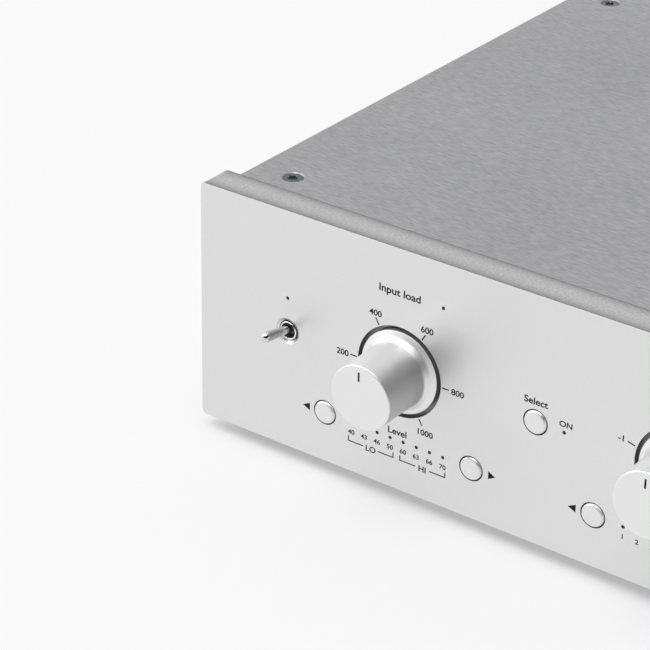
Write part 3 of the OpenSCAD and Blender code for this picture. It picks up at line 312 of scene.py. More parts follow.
looks = {
    "coverBrushed": finishLook((0.29, 0.29, 0.3), (0.58, 0.58, 0.6), (2.6, 0.22, 0.22), 0.42, grainShare=2.3,
                               roughChange=0.16, metallic=0.7, bump=0.35, smudge=0.35, smudgeScale=14.0),
    "rearBrushed": finishLook((0.5, 0.5, 0.505), (0.62, 0.62, 0.625), (4.0, 0.12, 0.12), 0.42, metallic=0.7,
                              bump=0.3),
    "traySteel": finishLook((0.42, 0.43, 0.45), (0.56, 0.57, 0.58), 1.6, 0.38, roughChange=0.2, metallic=0.85,
                            bump=0.15, smudge=0.6),
    "brightSteel": finishLook(0.55, (0.68, 0.68, 0.67), 0.3, 0.28, metallic=0.95, bump=0.1),
    "darkSteel": finishLook((0.10, 0.125, 0.12), (0.2, 0.225, 0.215), 0.25, 0.3, metallic=0.9, bump=0.2),
    "toggleChrome": finishLook((0.74, 0.74, 0.75), (0.82, 0.82, 0.83), 0.2, 0.06, roughChange=0.04,
                               metallic=1.0, bump=0.02),
    "leverSatin": finishLook((0.66, 0.66, 0.67), (0.76, 0.76, 0.77), 0.15, 0.2, roughChange=0.06,
                             metallic=1.0, bump=0.05),
    "goldPlate": finishLook((0.78, 0.55, 0.2), (0.9, 0.68, 0.3), 0.3, 0.2, metallic=1.0, bump=0.05),
    "brass": finishLook((0.6, 0.45, 0.2), (0.74, 0.58, 0.3), 0.3, 0.32, metallic=0.95, bump=0.1),
    "socketMetal": finishLook((0.035, 0.036, 0.038), (0.07, 0.07, 0.075), 0.2, 0.4, metallic=0.6, bump=0.3,
                              bumpDepth=0.03),
    "blackPlastic": finishLook((0.018, 0.018, 0.019), (0.035, 0.035, 0.036), 0.25, 0.42, bump=0.3),
    "whitePlastic": finishLook((0.72, 0.72, 0.7), (0.8, 0.8, 0.78), 0.4, 0.38, bump=0.1),
    "redPlastic": finishLook((0.42, 0.02, 0.018), (0.56, 0.035, 0.03), 0.4, 0.38, bump=0.1),
    "footPlastic": finishLook(0.03, 0.055, 0.3, 0.5, bump=0.4, bumpDepth=0.04),
    "rubber": finishLook(0.016, 0.03, 0.5, 0.8, bump=0.4, bumpDepth=0.04),
    "lampLens": finishLook((0.008, 0.008, 0.009), (0.016, 0.016, 0.018), 0.3, 0.16, bump=0.02),
    "ledResin": finishLook((0.7, 0.6, 0.32), (0.82, 0.74, 0.46), 0.3, 0.25, bump=0.05),
    "filmCase": finishLook((0.4, 0.035, 0.02), (0.52, 0.06, 0.035), 0.5, 0.32, bump=0.15),
    "relayCase": finishLook((0.66, 0.42, 0.04), (0.78, 0.52, 0.07), 0.5, 0.35, bump=0.15),
    "tinplate": finishLook((0.56, 0.56, 0.54), (0.7, 0.7, 0.68), (1.2, 0.3, 0.3), 0.26, metallic=0.95,
                           bump=0.12, smudge=0.6),
    "sinkBlack": finishLook((0.016, 0.016, 0.018), (0.035, 0.035, 0.038), (0.2, 0.2, 2.5), 0.42, metallic=0.5,
                            bump=0.2),
    "flatCable": finishLook((0.42, 0.42, 0.44), (0.52, 0.52, 0.54), 0.4, 0.5, bump=0.15),
    "ink": finishLook((0.012, 0.012, 0.013), (0.02, 0.02, 0.021), 0.12, 0.6, bump=0.1, specular=0.12),
    "knobSatin": finishLook(0.85, 0.9, 0.16, 0.46, metallic=0.96, bump=0.15),
    "capSatin": finishLook(0.82, 0.88, 0.16, 0.42, metallic=0.85, bump=0.12),
}
materials = {name: grainedMaterial(name, look) for name, look in looks.items()}

# lengths in millimetres: skin is how far the face's finish wraps round its edge, chamfer how deep it goes
# into a knob's recess and wall how deep into every other hole, outline the rim's reach and recess a knob's
panelLook = {
    "face": finishLook((0.77, 0.77, 0.773), 0.84, 0.22, 0.45, grainShare=1.3, smudge=0.25),
    "rim": finishLook(0.36, 0.7, (0.8, 0.45, 0.45), 0.5, grainShare=1.7),
    # bore: turning rings in dark tones, painted shade in the holes and the knobs' recesses
    "bore": {"dark": (0.16, 0.16, 0.165), "light": (0.42, 0.42, 0.43), "ring": 0.12, "ringShare": 1.2,
             "rough": 0.3},
    "edgeShade": (0.17, 0.17, 0.17), "edgeShadeBow": 0.55, "skin": 0.02, "chamfer": 0.12, "wall": 0.5, "outline": 0.6,
    "recess": 13.0, "metallic": 0.92, "rimMetallic": 0.4, "boreMetallic": 0.85, "bump": 0.25,
    "bumpDepth": 0.03,
}


# blasted face; sawn upper rim, coarser, with painted shade darkening it along both edges; turned rings in the
# holes, in dark tones of painted shade
def panelMaterial():
    material, tree, shader = newMaterial("panelBlasted")
    face = grainGroup(tree, panelLook["face"])
    rim = grainGroup(tree, panelLook["rim"])
    bore = turnedGroup(tree, onPanel(layout["knob"], layout["control"]), panelLook["bore"])
    parts = objectParts(tree)
    # 1 in the middle of the plate's thickness, 0 at its front and rear faces
    depth = rangeNode(tree, parts[1], panelLow.y, panelHigh.y)
    # painted shade: the rim darkens to a dark tone at the plate's front and rear faces
    edgeShadeBow = mathNode(tree, "SINE", mathNode(tree, "MULTIPLY", depth, math.pi))
    rimUnshadedShare = mathNode(tree, "POWER", edgeShadeBow, panelLook["edgeShadeBow"])
    rimShadedColour = mixColor(tree, rimUnshadedShare, shade(panelLook["edgeShade"]), rim.outputs["Colour"])
    # holes are what lies behind the face and clear of the outline
    middle = (panelLow + panelHigh) / 2
    near = mathNode(tree, "LESS_THAN", bore.outputs["Radius"], panelLook["recess"] * mm)
    start = rangeNode(tree, near, 0.0, 1.0, panelLow.y + panelLook["wall"] * mm,
                      panelLow.y + panelLook["chamfer"] * mm)
    insides = []
    for axis in (0, 2):
        offset = mathNode(tree, "ABSOLUTE", mathNode(tree, "SUBTRACT", parts[axis], middle[axis]))
        reach = (panelHigh - panelLow)[axis] / 2 - panelLook["outline"] * mm
        insides.append(mathNode(tree, "LESS_THAN", offset, reach))
    inside = mathNode(tree, "MULTIPLY", *insides)
    # painted shade: past the chamfer or wall depth the holes take the bore's dark tones
    sunk = mathNode(tree, "MULTIPLY", mathNode(tree, "GREATER_THAN", parts[1], start), inside)
    away = mathNode(
        tree, "MULTIPLY", mathNode(tree, "GREATER_THAN", parts[1], panelLow.y + panelLook["skin"] * mm),
                    mathNode(tree, "SUBTRACT", 1.0, inside))
    colour = mixColor(tree, away, face.outputs["Colour"], rimShadedColour)
    tree.links.new(mixColor(tree, sunk, colour, bore.outputs["Colour"]), shader.inputs["Base Color"])
    tree.links.new(face.outputs["Roughness"], shader.inputs["Roughness"])
    metal = rangeNode(tree, away, 0.0, 1.0, panelLook["metallic"], panelLook["rimMetallic"])
    sheen = rangeNode(tree, sunk, 0.0, 1.0, metal, panelLook["boreMetallic"])
    tree.links.new(sheen, shader.inputs["Metallic"])
    addBump(tree, shader, face.outputs["Height"], panelLook["bump"], panelLook["bumpDepth"])
    return material


# chrome that turns dark and dull down its bore
def boreMaterial(name, look, bore):
    material, tree, shader = newMaterial(name)
    chrome = grainGroup(tree, look)
    turned = turnedGroup(tree, onPanel(layout["end"], layout["control"]), bore)
    deep = mathNode(tree, "GREATER_THAN", objectParts(tree)[1], panelFace + bore["depth"] * mm)
    within = mathNode(tree, "LESS_THAN", turned.outputs["Radius"], bore["radius"] * mm)
    inside = mathNode(tree, "MULTIPLY", deep, within)
    tree.links.new(mixColor(tree, inside, chrome.outputs["Colour"], turned.outputs["Colour"]),
                   shader.inputs["Base Color"])
    rough = rangeNode(tree, inside, 0.0, 1.0, chrome.outputs["Roughness"], bore["rough"])
    tree.links.new(rough, shader.inputs["Roughness"])
    sheen = rangeNode(tree, inside, 0.0, 1.0, look["metallic"], bore["metallic"])
    tree.links.new(sheen, shader.inputs["Metallic"])
    addBump(tree, shader, chrome.outputs["Height"], look["bump"])
    return material


boardLook = {"cells": (0.015, 0.12, 0.06), "otherCells": (0.02, 0.15, 0.075), "tracks": (0.035, 0.24, 0.13),
             "scale": 90.0, "trackWide": 0.04, "rough": 0.3, "bump": 0.3, "bumpDepth": 0.03}


# solder mask over a regular pattern of tracks; an upright board's pattern is turned with it
def boardMaterial(name, upright):
    material, tree, shader = newMaterial(name)
    place = addNode(tree, "ShaderNodeTexCoord")
    turned = addNode(tree, "ShaderNodeMapping", {
        "Vector": place.outputs["Object"], "Rotation": (-math.pi / 2 if upright else 0, 0, 0)})
    cells = addNode(tree, "ShaderNodeTexBrick", {
        "Vector": turned.outputs[0], "Color1": shade(boardLook["cells"]),
        "Color2": shade(boardLook["otherCells"]),
        "Mortar": shade(boardLook["tracks"]), "Scale": boardLook["scale"],
        "Mortar Size": boardLook["trackWide"],
    }, offset=0.5)
    tree.links.new(cells.outputs["Color"], shader.inputs["Base Color"])
    shader.inputs["Roughness"].default_value = boardLook["rough"]
    addBump(tree, shader, cells.outputs["Fac"], boardLook["bump"], boardLook["bumpDepth"])
    return material


# printed sleeve with a pale stripe that faces the centre line, and a bare aluminium top
canLook = {
    "sleeve": finishLook((0.012, 0.018, 0.06), (0.025, 0.035, 0.1), (0.6, 0.6, 3.0), 0.25),
    "top": (0.62, 0.62, 0.62), "stripe": (0.5, 0.52, 0.56), "largeTall": 26.0, "smallTall": 12.0,
    "crown": 0.65, "split": 30.0, "largeStripe": 2.6, "smallStripe": 58.2,
}


def canMaterial():
    material, tree, shader = newMaterial("canSleeve")
    sleeve = grainGroup(tree, canLook["sleeve"])
    parts = objectParts(tree)
    side = mathNode(tree, "ABSOLUTE", parts[0])
    small = mathNode(tree, "GREATER_THAN", side, canLook["split"] * mm)
    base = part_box("electrolytic_capacitors")[0].z
    crown = rangeNode(tree, small, 0.0, 1.0, *(base + (canLook[tall] - canLook["crown"]) * mm
                                              for tall in ("largeTall", "smallTall")))
    reach = rangeNode(tree, small, 0.0, 1.0, canLook["largeStripe"] * mm, canLook["smallStripe"] * mm)
    top = mathNode(tree, "GREATER_THAN", parts[2], crown)
    stripe = mathNode(tree, "LESS_THAN", side, reach)
    colour = mixColor(tree, stripe, sleeve.outputs["Colour"], shade(canLook["stripe"]))
    tree.links.new(mixColor(tree, top, colour, shade(canLook["top"])), shader.inputs["Base Color"])
    tree.links.new(sleeve.outputs["Roughness"], shader.inputs["Roughness"])
    tree.links.new(top, shader.inputs["Metallic"])
    return material


materials["panelBlasted"] = panelMaterial()
toggleBore = {"dark": (0.06, 0.062, 0.054), "light": (0.2, 0.205, 0.185), "ring": 0.1, "ringShare": 1.1,
              "rough": 0.55, "metallic": 0.3, "depth": 0.42, "radius": 2.97}
for name in ("toggleChrome", "leverSatin"):
    materials[name] = boreMaterial(name, looks[name], toggleBore)
materials["boardFlat"] = boardMaterial("boardFlat", False)
materials["boardUpright"] = boardMaterial("boardUpright", True)
materials["canSleeve"] = canMaterial()
print("materials made:", len(materials))

# the CAD nodes that keep their own shape, by finish
nodeFinish = {
    "panelBlasted": ["front_panel"],
    "coverBrushed": ["top_cover"],
    "rearBrushed": ["rear_panel"],
    "traySteel": ["chassis_tray"],
    "brightSteel": ["cover_posts", "shaft_load", "shaft_balance", "potentiometers", "potentiometer_nuts",
                    "rear_nuts", "latch_left", "latch_right", "power_pin", "board_screws", "case_screws",
                    "foot_screws"],
    "darkSteel": ["cover_screws"],
    "toggleChrome": ["toggle_bushing", "toggle_lever"],
    "capSatin": ["button_gain_down", "button_gain_up", "button_mode", "button_filter_down",
                 "button_filter_up",
                 "button_standby"],
    "knobSatin": ["knob_load", "knob_balance"],
    "goldPlate": ["pin_socket_shells", "pin_socket_contacts", "three_pole_contacts", "earth_stud",
                  "earth_nut"],
    "brass": ["front_board_spacers", "board_standoffs"],
    "socketMetal": ["input_socket_shells", "output_socket_shells"],
    "blackPlastic": ["toggle_case", "key_switches", "chips", "regulators", "ribbon_headers",
                     "three_pole_cores", "power_socket"],
    "whitePlastic": ["pin_socket_bushes_white", "pin_socket_cores"],
    "redPlastic": ["pin_socket_bushes_red"],
    "footPlastic": ["feet"],
    "rubber": ["foot_pads"],
    "lampLens": ["light_pipes"],
    "ledResin": ["front_leds"],
    "boardFlat": ["main_board"],
    "boardUpright": ["front_board", "rear_board"],
    "canSleeve": ["electrolytic_capacitors"],
    "filmCase": ["film_capacitors"],
    "relayCase": ["relays"],
    "tinplate": ["shield_can"],
    "sinkBlack": ["heatsinks"],
    "flatCable": ["ribbon_cable"],
}
for finish, names in nodeFinish.items():
    for name in names:
        nodes[name].data.materials.clear()
        nodes[name].data.materials.append(materials[finish])
print("CAD nodes dressed")


# rounds each inner corner of a (radius, depth) outline whose entry has a third value, its radius
def roundedOutline(corners, steps=8):
    points = []
    for index, corner in enumerate(corners):
        here = Vector(corner[:2])
        radius = corner[2] if len(corner) > 2 else 0
        if radius <= 0 or index in (0, len(corners) - 1):
            points.append(here)
            continue
        before = (Vector(corners[index - 1][:2]) - here).normalized()
        after = (Vector(corners[index + 1][:2]) - here).normalized()
        half = math.acos(max(-1, min(1, before.dot(after)))) / 2
        reach = radius / math.tan(half)
        centre = here + (before + after).normalized() * (radius / math.sin(half))
        first = here + before * reach - centre
        last = here + after * reach - centre
        turn = first.angle_signed(last)
        for step in range(steps + 1):
            angle = -turn * step / steps
            points.append(centre + Vector((first.x * math.cos(angle) - first.y * math.sin(angle),
                                           first.x * math.sin(angle) + first.y * math.cos(angle))))
    return [tuple(point) for point in points]


# points of an outline on an arc of two radii, from one angle to another
def arcPoints(centre, radii, first, last, steps):
    turns = [first + (last - first) * step / steps for step in range(steps + 1)]
    return [(centre[0] + radii[0] * math.cos(turn), centre[1] + radii[1] * math.sin(turn)) for turn in turns]


# joins rings of points into a closed skin; a ring of one point is a tip
def skinRings(name, rings):
    points, faces, numbered = [], [], []
    for ring in rings:
        numbered.append(range(len(points), len(points) + len(ring)))
        points += ring
    for lower, upper in zip(numbered, numbered[1:]):
        count = max(len(lower), len(upper))
        for step in range(count):
            after = (step + 1) % count
            if len(lower) > 1 and len(upper) > 1:
                faces.append((lower[step], lower[after], upper[after], upper[step]))
            elif len(upper) > 1:
                faces.append((lower[0], upper[after], upper[step]))
            elif len(lower) > 1:
                faces.append((lower[step], lower[after], upper[0]))
    mesh = meshFrom(name, points, faces)
    faceOutwards(mesh)
    return shadeEvenly(mesh)


# spins a (radius, height) outline in millimetres about z; a point on the axis is a tip, and lobes(angle) may
# reshape the rings from recessFrom on
def turnedMesh(name, outline, steps, lobes=None, recessFrom=None):
    rings = []
    for index, (radius, height) in enumerate(outline):
        if radius < 1e-6:
            rings.append([(0, 0, height * mm)])
            continue
        ring = []
        for step in range(steps):
            angle = 2 * math.pi * step / steps
            reach = radius * mm * (lobes(angle) if lobes and index >= recessFrom else 1)
            ring.append((reach * math.cos(angle), reach * math.sin(angle), height * mm))
        rings.append(ring)
    return skinRings(name, rings)


# stands a mesh made along z on a point, with its z turned to the given direction
def standOn(mesh, point, direction=(0, -1, 0)):
    turn = Vector((0, 0, 1)).rotation_difference(Vector(direction)).to_matrix().to_4x4()
    mesh.transform(Matrix.Translation(point) @ turn)
    return mesh


# turned nodes get a smooth skin of their own: concave flare from flange to grip, soft front edge, hollow back
knob = {
    "grip": 8.8, "flange": 11.35, "flangeBack": 1.4, "proud": 0.15, "rise": 0.75, "flare": 1.2, "reach": 16.7,
    "edge": 0.45, "shaft": 3.0, "boss": 4.8, "wall": 1.6, "cap": 3.2, "lip": 0.15,
    "fillet": 1.2, "bossDeep": 1.0,
    "indexWide": 0.52, "indexLong": 2.55, "indexInset": 1.75, "indexShift": -0.5, "indexProud": 0.012,
    "indexThick": 0.06,
}


def knobOutline():
    base = knob["grip"] + knob["flare"]
    inner = knob["reach"] - knob["cap"]
    hollow = knob["grip"] - knob["wall"]
    back = -knob["flangeBack"]
    bossFloor = inner - knob["bossDeep"]
    corners = [(knob["flange"], back), (knob["flange"], knob["proud"], knob["lip"]),
               (base, knob["rise"], knob["fillet"]),
               (knob["grip"], knob["rise"] + knob["flare"], knob["fillet"]),
               (knob["grip"], knob["reach"], knob["edge"]), (0, knob["reach"])]
    return roundedOutline(corners) + [
        (0, bossFloor), (knob["shaft"], bossFloor), (knob["shaft"], back), (knob["boss"], back),
        (knob["boss"], inner), (hollow, inner), (hollow, back), (knob["flange"], back)]


def makeKnob(node, body):
    centre = boxCentre(node)
    axis = Vector((centre.x, panelFace, centre.z))
    mesh = standOn(turnedMesh(node + "_turned", knobOutline(), 128), axis)
    finishPiece(linkObject(node + "_turned", mesh), body, "knob_aluminium", materials["knobSatin"], node)
    top = knob["grip"] - knob["indexInset"]
    left = knob["indexShift"] - knob["indexWide"] / 2
    front = -knob["reach"] - knob["indexProud"]
    line = boxMesh(node + "_index", (left, front, top - knob["indexLong"]),
                   (left + knob["indexWide"], front + knob["indexThick"], top))
    line.transform(Matrix.Translation(axis))
    finishPiece(linkObject(node + "_index", line), body, "black_plastic", materials["ink"])


def boxMesh(name, low, high):
    points = [(x * mm, y * mm, z * mm) for x in (low[0], high[0]) for y in (low[1], high[1])
              for z in (low[2], high[2])]
    faces = [(0, 1, 3, 2), (4, 6, 7, 5), (0, 4, 5, 1), (2, 3, 7, 6), (0, 2, 6, 4), (1, 5, 7, 3)]
    return meshFrom(name, points, faces)


makeKnob("knob_load", "load_dial")
makeKnob("knob_balance", "balance_dial")

# heights are millimetres out of the panel's face
button = {"radius": 3.2, "proud": 0.5, "edge": 0.8, "collar": -6.1, "collarRadius": 4.1, "collarThick": 1.2,
          "stem": 2.0, "stemEnd": -16.4, "plunger": 1.5, "end": -18.5, "neck": 0.1, "collarEdge": 0.12,
          "stemEdge": 0.2}


def makeButton(node):
    step = button["collar"] - button["collarThick"]
    corners = [(0, button["proud"]), (button["radius"], button["proud"], button["edge"]),
               (button["radius"], button["collar"], button["neck"]),
               (button["collarRadius"], button["collar"], button["collarEdge"]),
               (button["collarRadius"], step, button["collarEdge"]),
               (button["stem"], step, button["stemEdge"]),
               (button["stem"], button["stemEnd"]), (button["plunger"], button["stemEnd"]),
               (button["plunger"], button["end"], button["stemEdge"]), (0, button["end"])]
    centre = boxCentre(node)
    mesh = turnedMesh(node + "_cap", roundedOutline(corners), 72)
    standOn(mesh, Vector((centre.x, panelFace, centre.z)))
    finishPiece(linkObject(node + "_cap", mesh), nodes[node]["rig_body"], "knob_aluminium",
                materials["capSatin"], node)


for buttonNode in nodeFinish["capSatin"]:
    makeButton(buttonNode)

toggle = {
    "bushing": 3.15, "mouth": 2.1, "bore": 2.15, "mouthDepth": 0.9, "back": 0.15, "end": 11.1,
    "lip": 0.25, "groove": 0.95, "rimWide": 0.38, "rimBack": 0.5,
    "pivot": 3.0, "ball": 2.1, "root": 1.05, "tip": 1.4, "arm": 12.2, "tilt": 10.0, "tail": 0.7,
    "tailLong": 4.2,
}


def makeToggle():
    centre = boxCentre("toggle_bushing")
    axis = Vector((centre.x, panelFace, centre.z))
    lip = toggle["lip"]
    inner = toggle["bushing"] - toggle["rimWide"]
    outline = arcPoints((toggle["mouth"] + lip, -toggle["back"] - lip), (lip, lip), math.pi, 0, 16)
    outline += [(toggle["mouth"] + 2 * lip, -toggle["groove"]), (inner, -toggle["groove"]),
                (inner, -toggle["rimBack"]), (toggle["bushing"], -toggle["back"]),
                (toggle["bushing"], -toggle["end"]), (toggle["bore"], -toggle["end"]),
                (toggle["bore"], -toggle["mouthDepth"]), outline[0]]
    mesh = standOn(turnedMesh("toggle_bushing_turned", outline, 96), axis)
    finishPiece(linkObject("toggle_bushing_turned", mesh), "case", "chrome", materials["toggleChrome"],
                "toggle_bushing")
    # tail, ball, tapered arm and round tip in one outline from the pivot
    ball, tip = toggle["ball"], toggle["tip"]
    outline = [(0, -toggle["tailLong"]), (toggle["tail"], -toggle["tailLong"])]
    outline += arcPoints((0, 0), (ball, ball), math.asin(toggle["tail"] / ball) - math.pi / 2,
                         math.pi / 2 - math.asin(toggle["root"] / ball), 20)
    outline += arcPoints((0, toggle["arm"]), (tip, tip), 0, math.pi / 2, 12)
    mesh = turnedMesh("toggle_lever_turned", outline, 64)
    tilt = math.radians(toggle["tilt"])
    standOn(mesh, axis + Vector((0, toggle["pivot"] * mm, 0)), (0, -math.cos(tilt), math.sin(tilt)))
    finishPiece(linkObject("toggle_lever_turned", mesh), "toggle", "chrome", materials["leverSatin"],
                "toggle_lever")


makeToggle()
print("knobs, buttons and toggle made")


# one piece put on every point, its z turned to the point's "facing", spun by chance about it and made real
def placePiecesGroup():
    group, start, end = newGroup("placePieces", [
        ("Points", "NodeSocketGeometry"), ("Piece", "NodeSocketObject"), ("Finish", "NodeSocketMaterial"),
        ("Spin", "NodeSocketFloat"), ("Seed", "NodeSocketInt")], [("Geometry", "NodeSocketGeometry")],
        "GeometryNodeTree")
    facing = addNode(group, "GeometryNodeInputNamedAttribute", {"Name": "facing"}, data_type="FLOAT_VECTOR")
    stand = addNode(group, "FunctionNodeAlignRotationToVector", {"Vector": facing.outputs[0]}, axis="Z")
    chance = addNode(group, "FunctionNodeRandomValue", {
        3: start.outputs["Spin"], "Seed": start.outputs["Seed"]}, data_type="FLOAT")
    about = addNode(group, "FunctionNodeAxisAngleToRotation", {"Axis": (0, 0, 1), "Angle": chance.outputs[1]})
    spun = addNode(group, "FunctionNodeRotateRotation", {0: stand.outputs[0], 1: about.outputs[0]},
                   rotation_space="LOCAL")
    source = addNode(group, "GeometryNodeObjectInfo", {"Object": start.outputs["Piece"]})
    place = addNode(group, "GeometryNodeInstanceOnPoints", {
        "Points": start.outputs["Points"], "Instance": source.outputs["Geometry"],
        "Rotation": spun.outputs[0]})
    real = addNode(group, "GeometryNodeRealizeInstances", {0: place.outputs[0]})
    dress = addNode(group, "GeometryNodeSetMaterial", {
        "Geometry": real.outputs[0], "Material": start.outputs["Finish"]})
    group.links.new(dress.outputs[0], end.inputs[0])
    return group


placePieces = placePiecesGroup()


# returns one plain mesh with a copy of the piece at every (point, direction)
def scattered(name, pieceMesh, places, material, spin=0.0, seed=1):
    piece = linkObject(name + "_piece", pieceMesh)
    mesh = meshFrom(name, [p for p, _ in places], [])
    facing = mesh.attributes.new("facing", "FLOAT_VECTOR", "POINT")
    facing.data.foreach_set("vector", [value for _, direction in places for value in direction])
    holder = linkObject(name, mesh)
    modifier = holder.modifiers.new("placePieces", "NODES")
    modifier.node_group = placePieces
    settings = {"Piece": piece, "Finish": material, "Spin": spin, "Seed": seed}
    for socket in placePieces.interface.items_tree:
        if socket.in_out == "INPUT" and socket.name in settings:
            modifier[socket.identifier] = settings[socket.name]
    made = evaluatedMesh(holder)
    bpy.data.objects.remove(piece)
    return made


def joinedMesh(name, meshes):
    work = bmesh.new()
    for mesh in meshes:
        work.from_mesh(mesh)
    joined = bpy.data.meshes.new(name)
    work.to_mesh(joined)
    work.free()
    return joined


# lowest and highest corner of every loose solid in a node
def solidBoxes(name):
    work = bmesh.new()
    work.from_mesh(nodes[name].data)
    bmesh.ops.remove_doubles(work, verts=work.verts, dist=1e-6)
    boxes, seen = [], set()
    for first in work.verts:
        if first in seen:
            continue
        seen.add(first)
        stack, low, high = [first], first.co.copy(), first.co.copy()
        while stack:
            vertex = stack.pop()
            for axis in range(3):
                low[axis] = min(low[axis], vertex.co[axis])
                high[axis] = max(high[axis], vertex.co[axis])
            for edge in vertex.link_edges:
                other = edge.other_vert(vertex)
                if other not in seen:
                    seen.add(other)
                    stack.append(other)
        boxes.append((low, high))
    work.free()
    return boxes


# pan heads are domed with a cross recess, sunk heads flat with six lobes; threads are plain rings, whose
# crest starts and ends at shares of the pitch; a recess steps in by shares of its reach
screw = {
    "shank": 1.5, "threadDepth": 0.22, "pitch": 0.8, "lead": 0.3, "crest": (0.4, 0.55), "relief": 0.1,
    "panRadius": 2.75, "panTall": 2.1, "panEdge": 0.9, "panBulge": 1.1, "crossReach": 1.45, "crossHalf": 0.42,
    "crossSteps": ((1.0, 0.0), (0.92, 0.25), (0.6, 1.2)),
    "sunkRadius": 2.85, "sunkRim": ((0.05, 0.08), (0.12, 0.0)), "lobeReach": 1.45, "lobeWave": 0.16,
    "lobeSteps": ((1.0, 0.0), (0.93, 0.12), (0.82, 0.6)),
}


def crossLobes(angle):
    reach, half = screw["crossReach"], screw["crossHalf"]
    across, along = (max(abs(part), 1e-9) for part in (math.cos(angle), math.sin(angle)))
    return max(min(reach / across, half / along), min(reach / along, half / across))


def sixLobes(angle):
    return 1 + screw["lobeWave"] * math.cos(6 * angle)


def threadOutline(start, length):
    shank, pitch, lead = screw["shank"], screw["pitch"], screw["lead"]
    root = shank - screw["threadDepth"]
    first, last = screw["crest"]
    low = start - length
    turns = int((length - 2 * lead) / pitch)
    outline = [(0, low), (root, low)]
    for turn in range(turns):
        ring = low + lead + turn * pitch
        outline += [(root, ring), (shank, ring + pitch * first), (shank, ring + pitch * last)]
    return outline + [(root, low + lead + turns * pitch), (shank, start - screw["relief"])]


# a recess from a head's top down to its flat floor
def recessOutline(top, reach, steps):
    return [(reach * share, top - deep) for share, deep in steps] + [(0, top - steps[-1][1])]


# origin at the head's seat, head along +z
def panScrew(length):
    radius, tall, edge = screw["panRadius"], screw["panTall"], screw["panEdge"]
    bulge = edge * screw["panBulge"]
    outline = threadOutline(0, length) + [(screw["shank"], 0), (radius, 0)]
    outline += arcPoints((radius - bulge, tall - edge), (bulge, edge), 0, math.pi / 2, 5)
    recess = len(outline)
    outline += recessOutline(tall, 1.0, screw["crossSteps"])
    return turnedMesh("panScrew", outline, 48, crossLobes, recess)


# origin in the middle of the head's flat top
def sunkScrew(length):
    radius = screw["sunkRadius"]
    slope = radius - screw["shank"]
    outline = threadOutline(-slope, length - slope) + [(screw["shank"], -slope)]
    outline += [(radius - inward, -deep) for inward, deep in screw["sunkRim"]]
    recess = len(outline)
    outline += recessOutline(0, screw["lobeReach"], screw["lobeSteps"])
    return turnedMesh("sunkScrew", outline, 72, sixLobes, recess)


# each screw of a node as (seat, direction of its head, length under the head)
def screwPlaces(name):
    places = []
    for low, high in solidBoxes(name):
        size = high - low
        axis = max(range(3), key=lambda k: size[k])
        middle = (low + high) / 2
        other = (axis + 1) % 3
        spread = {}
        for vertex in nodes[name].data.vertices:
            co = vertex.co
            if all(low[k] - 1e-5 <= co[k] <= high[k] + 1e-5 for k in range(3)):
                end = round((co[axis] - low[axis]) / size[axis])
                spread[end] = max(spread.get(end, 0), abs(co[other] - middle[other]))
        headAtTop = spread[1] > spread[0]
        direction = Vector((0, 0, 0))
        direction[axis] = 1 if headAtTop else -1
        top = middle.copy()
        top[axis] = high[axis] if headAtTop else low[axis]
        places.append((top, direction, size[axis] / mm))
    return places


def makeScrews(node, slotName, material, sunk, seed):
    meshes = []
    places = screwPlaces(node)
    for total in sorted({round(p[2], 1) for p in places}):
        head = 0 if sunk else screw["panTall"]
        mesh = sunkScrew(total) if sunk else panScrew(total - head)
        chosen = [(top - direction * head * mm, direction) for top, direction, length in places
                  if abs(length - total) < 0.06]
        meshes.append(scattered(node + "_set", mesh, chosen, material, 2 * math.pi, seed))
    finishPiece(linkObject(node + "_threaded", joinedMesh(node + "_threaded", meshes)), "case", slotName,
                material, node)


makeScrews("cover_screws", "dark_steel", materials["darkSteel"], True, 11)
makeScrews("case_screws", "bright_steel", materials["brightSteel"], False, 12)
makeScrews("board_screws", "bright_steel", materials["brightSteel"], False, 13)
makeScrews("foot_screws", "bright_steel", materials["brightSteel"], False, 14)
print("screws made")

# heights are millimetres out of the panel's face
lens = {"radius": 0.5, "front": -0.2, "dome": 0.14, "step": -1.6, "rod": 1.4, "end": -20.3}


def makeLenses():
    outline = arcPoints((0, lens["front"] - lens["dome"]), (lens["radius"], lens["dome"]), math.pi / 2, 0, 5)
    outline += [(lens["radius"], lens["step"]), (lens["rod"], lens["step"]), (lens["rod"], lens["end"]),
                (0, lens["end"])]
    places = [(Vector(((low.x + high.x) / 2, panelFace, (low.z + high.z) / 2)), (0, -1, 0))
              for low, high in solidBoxes("light_pipes")]
    mesh = scattered("light_pipes_lenses", turnedMesh("lens", outline, 32), places, materials["lampLens"])
    finishPiece(linkObject("light_pipes_lenses", mesh), "case", "light_guide", materials["lampLens"],
                "light_pipes")


makeLenses()

# round conductors side by side
cable = {"count": 20, "thick": 1.0, "bend": 4.0, "overlap": 1.04, "sides": 10, "bendSteps": 8}


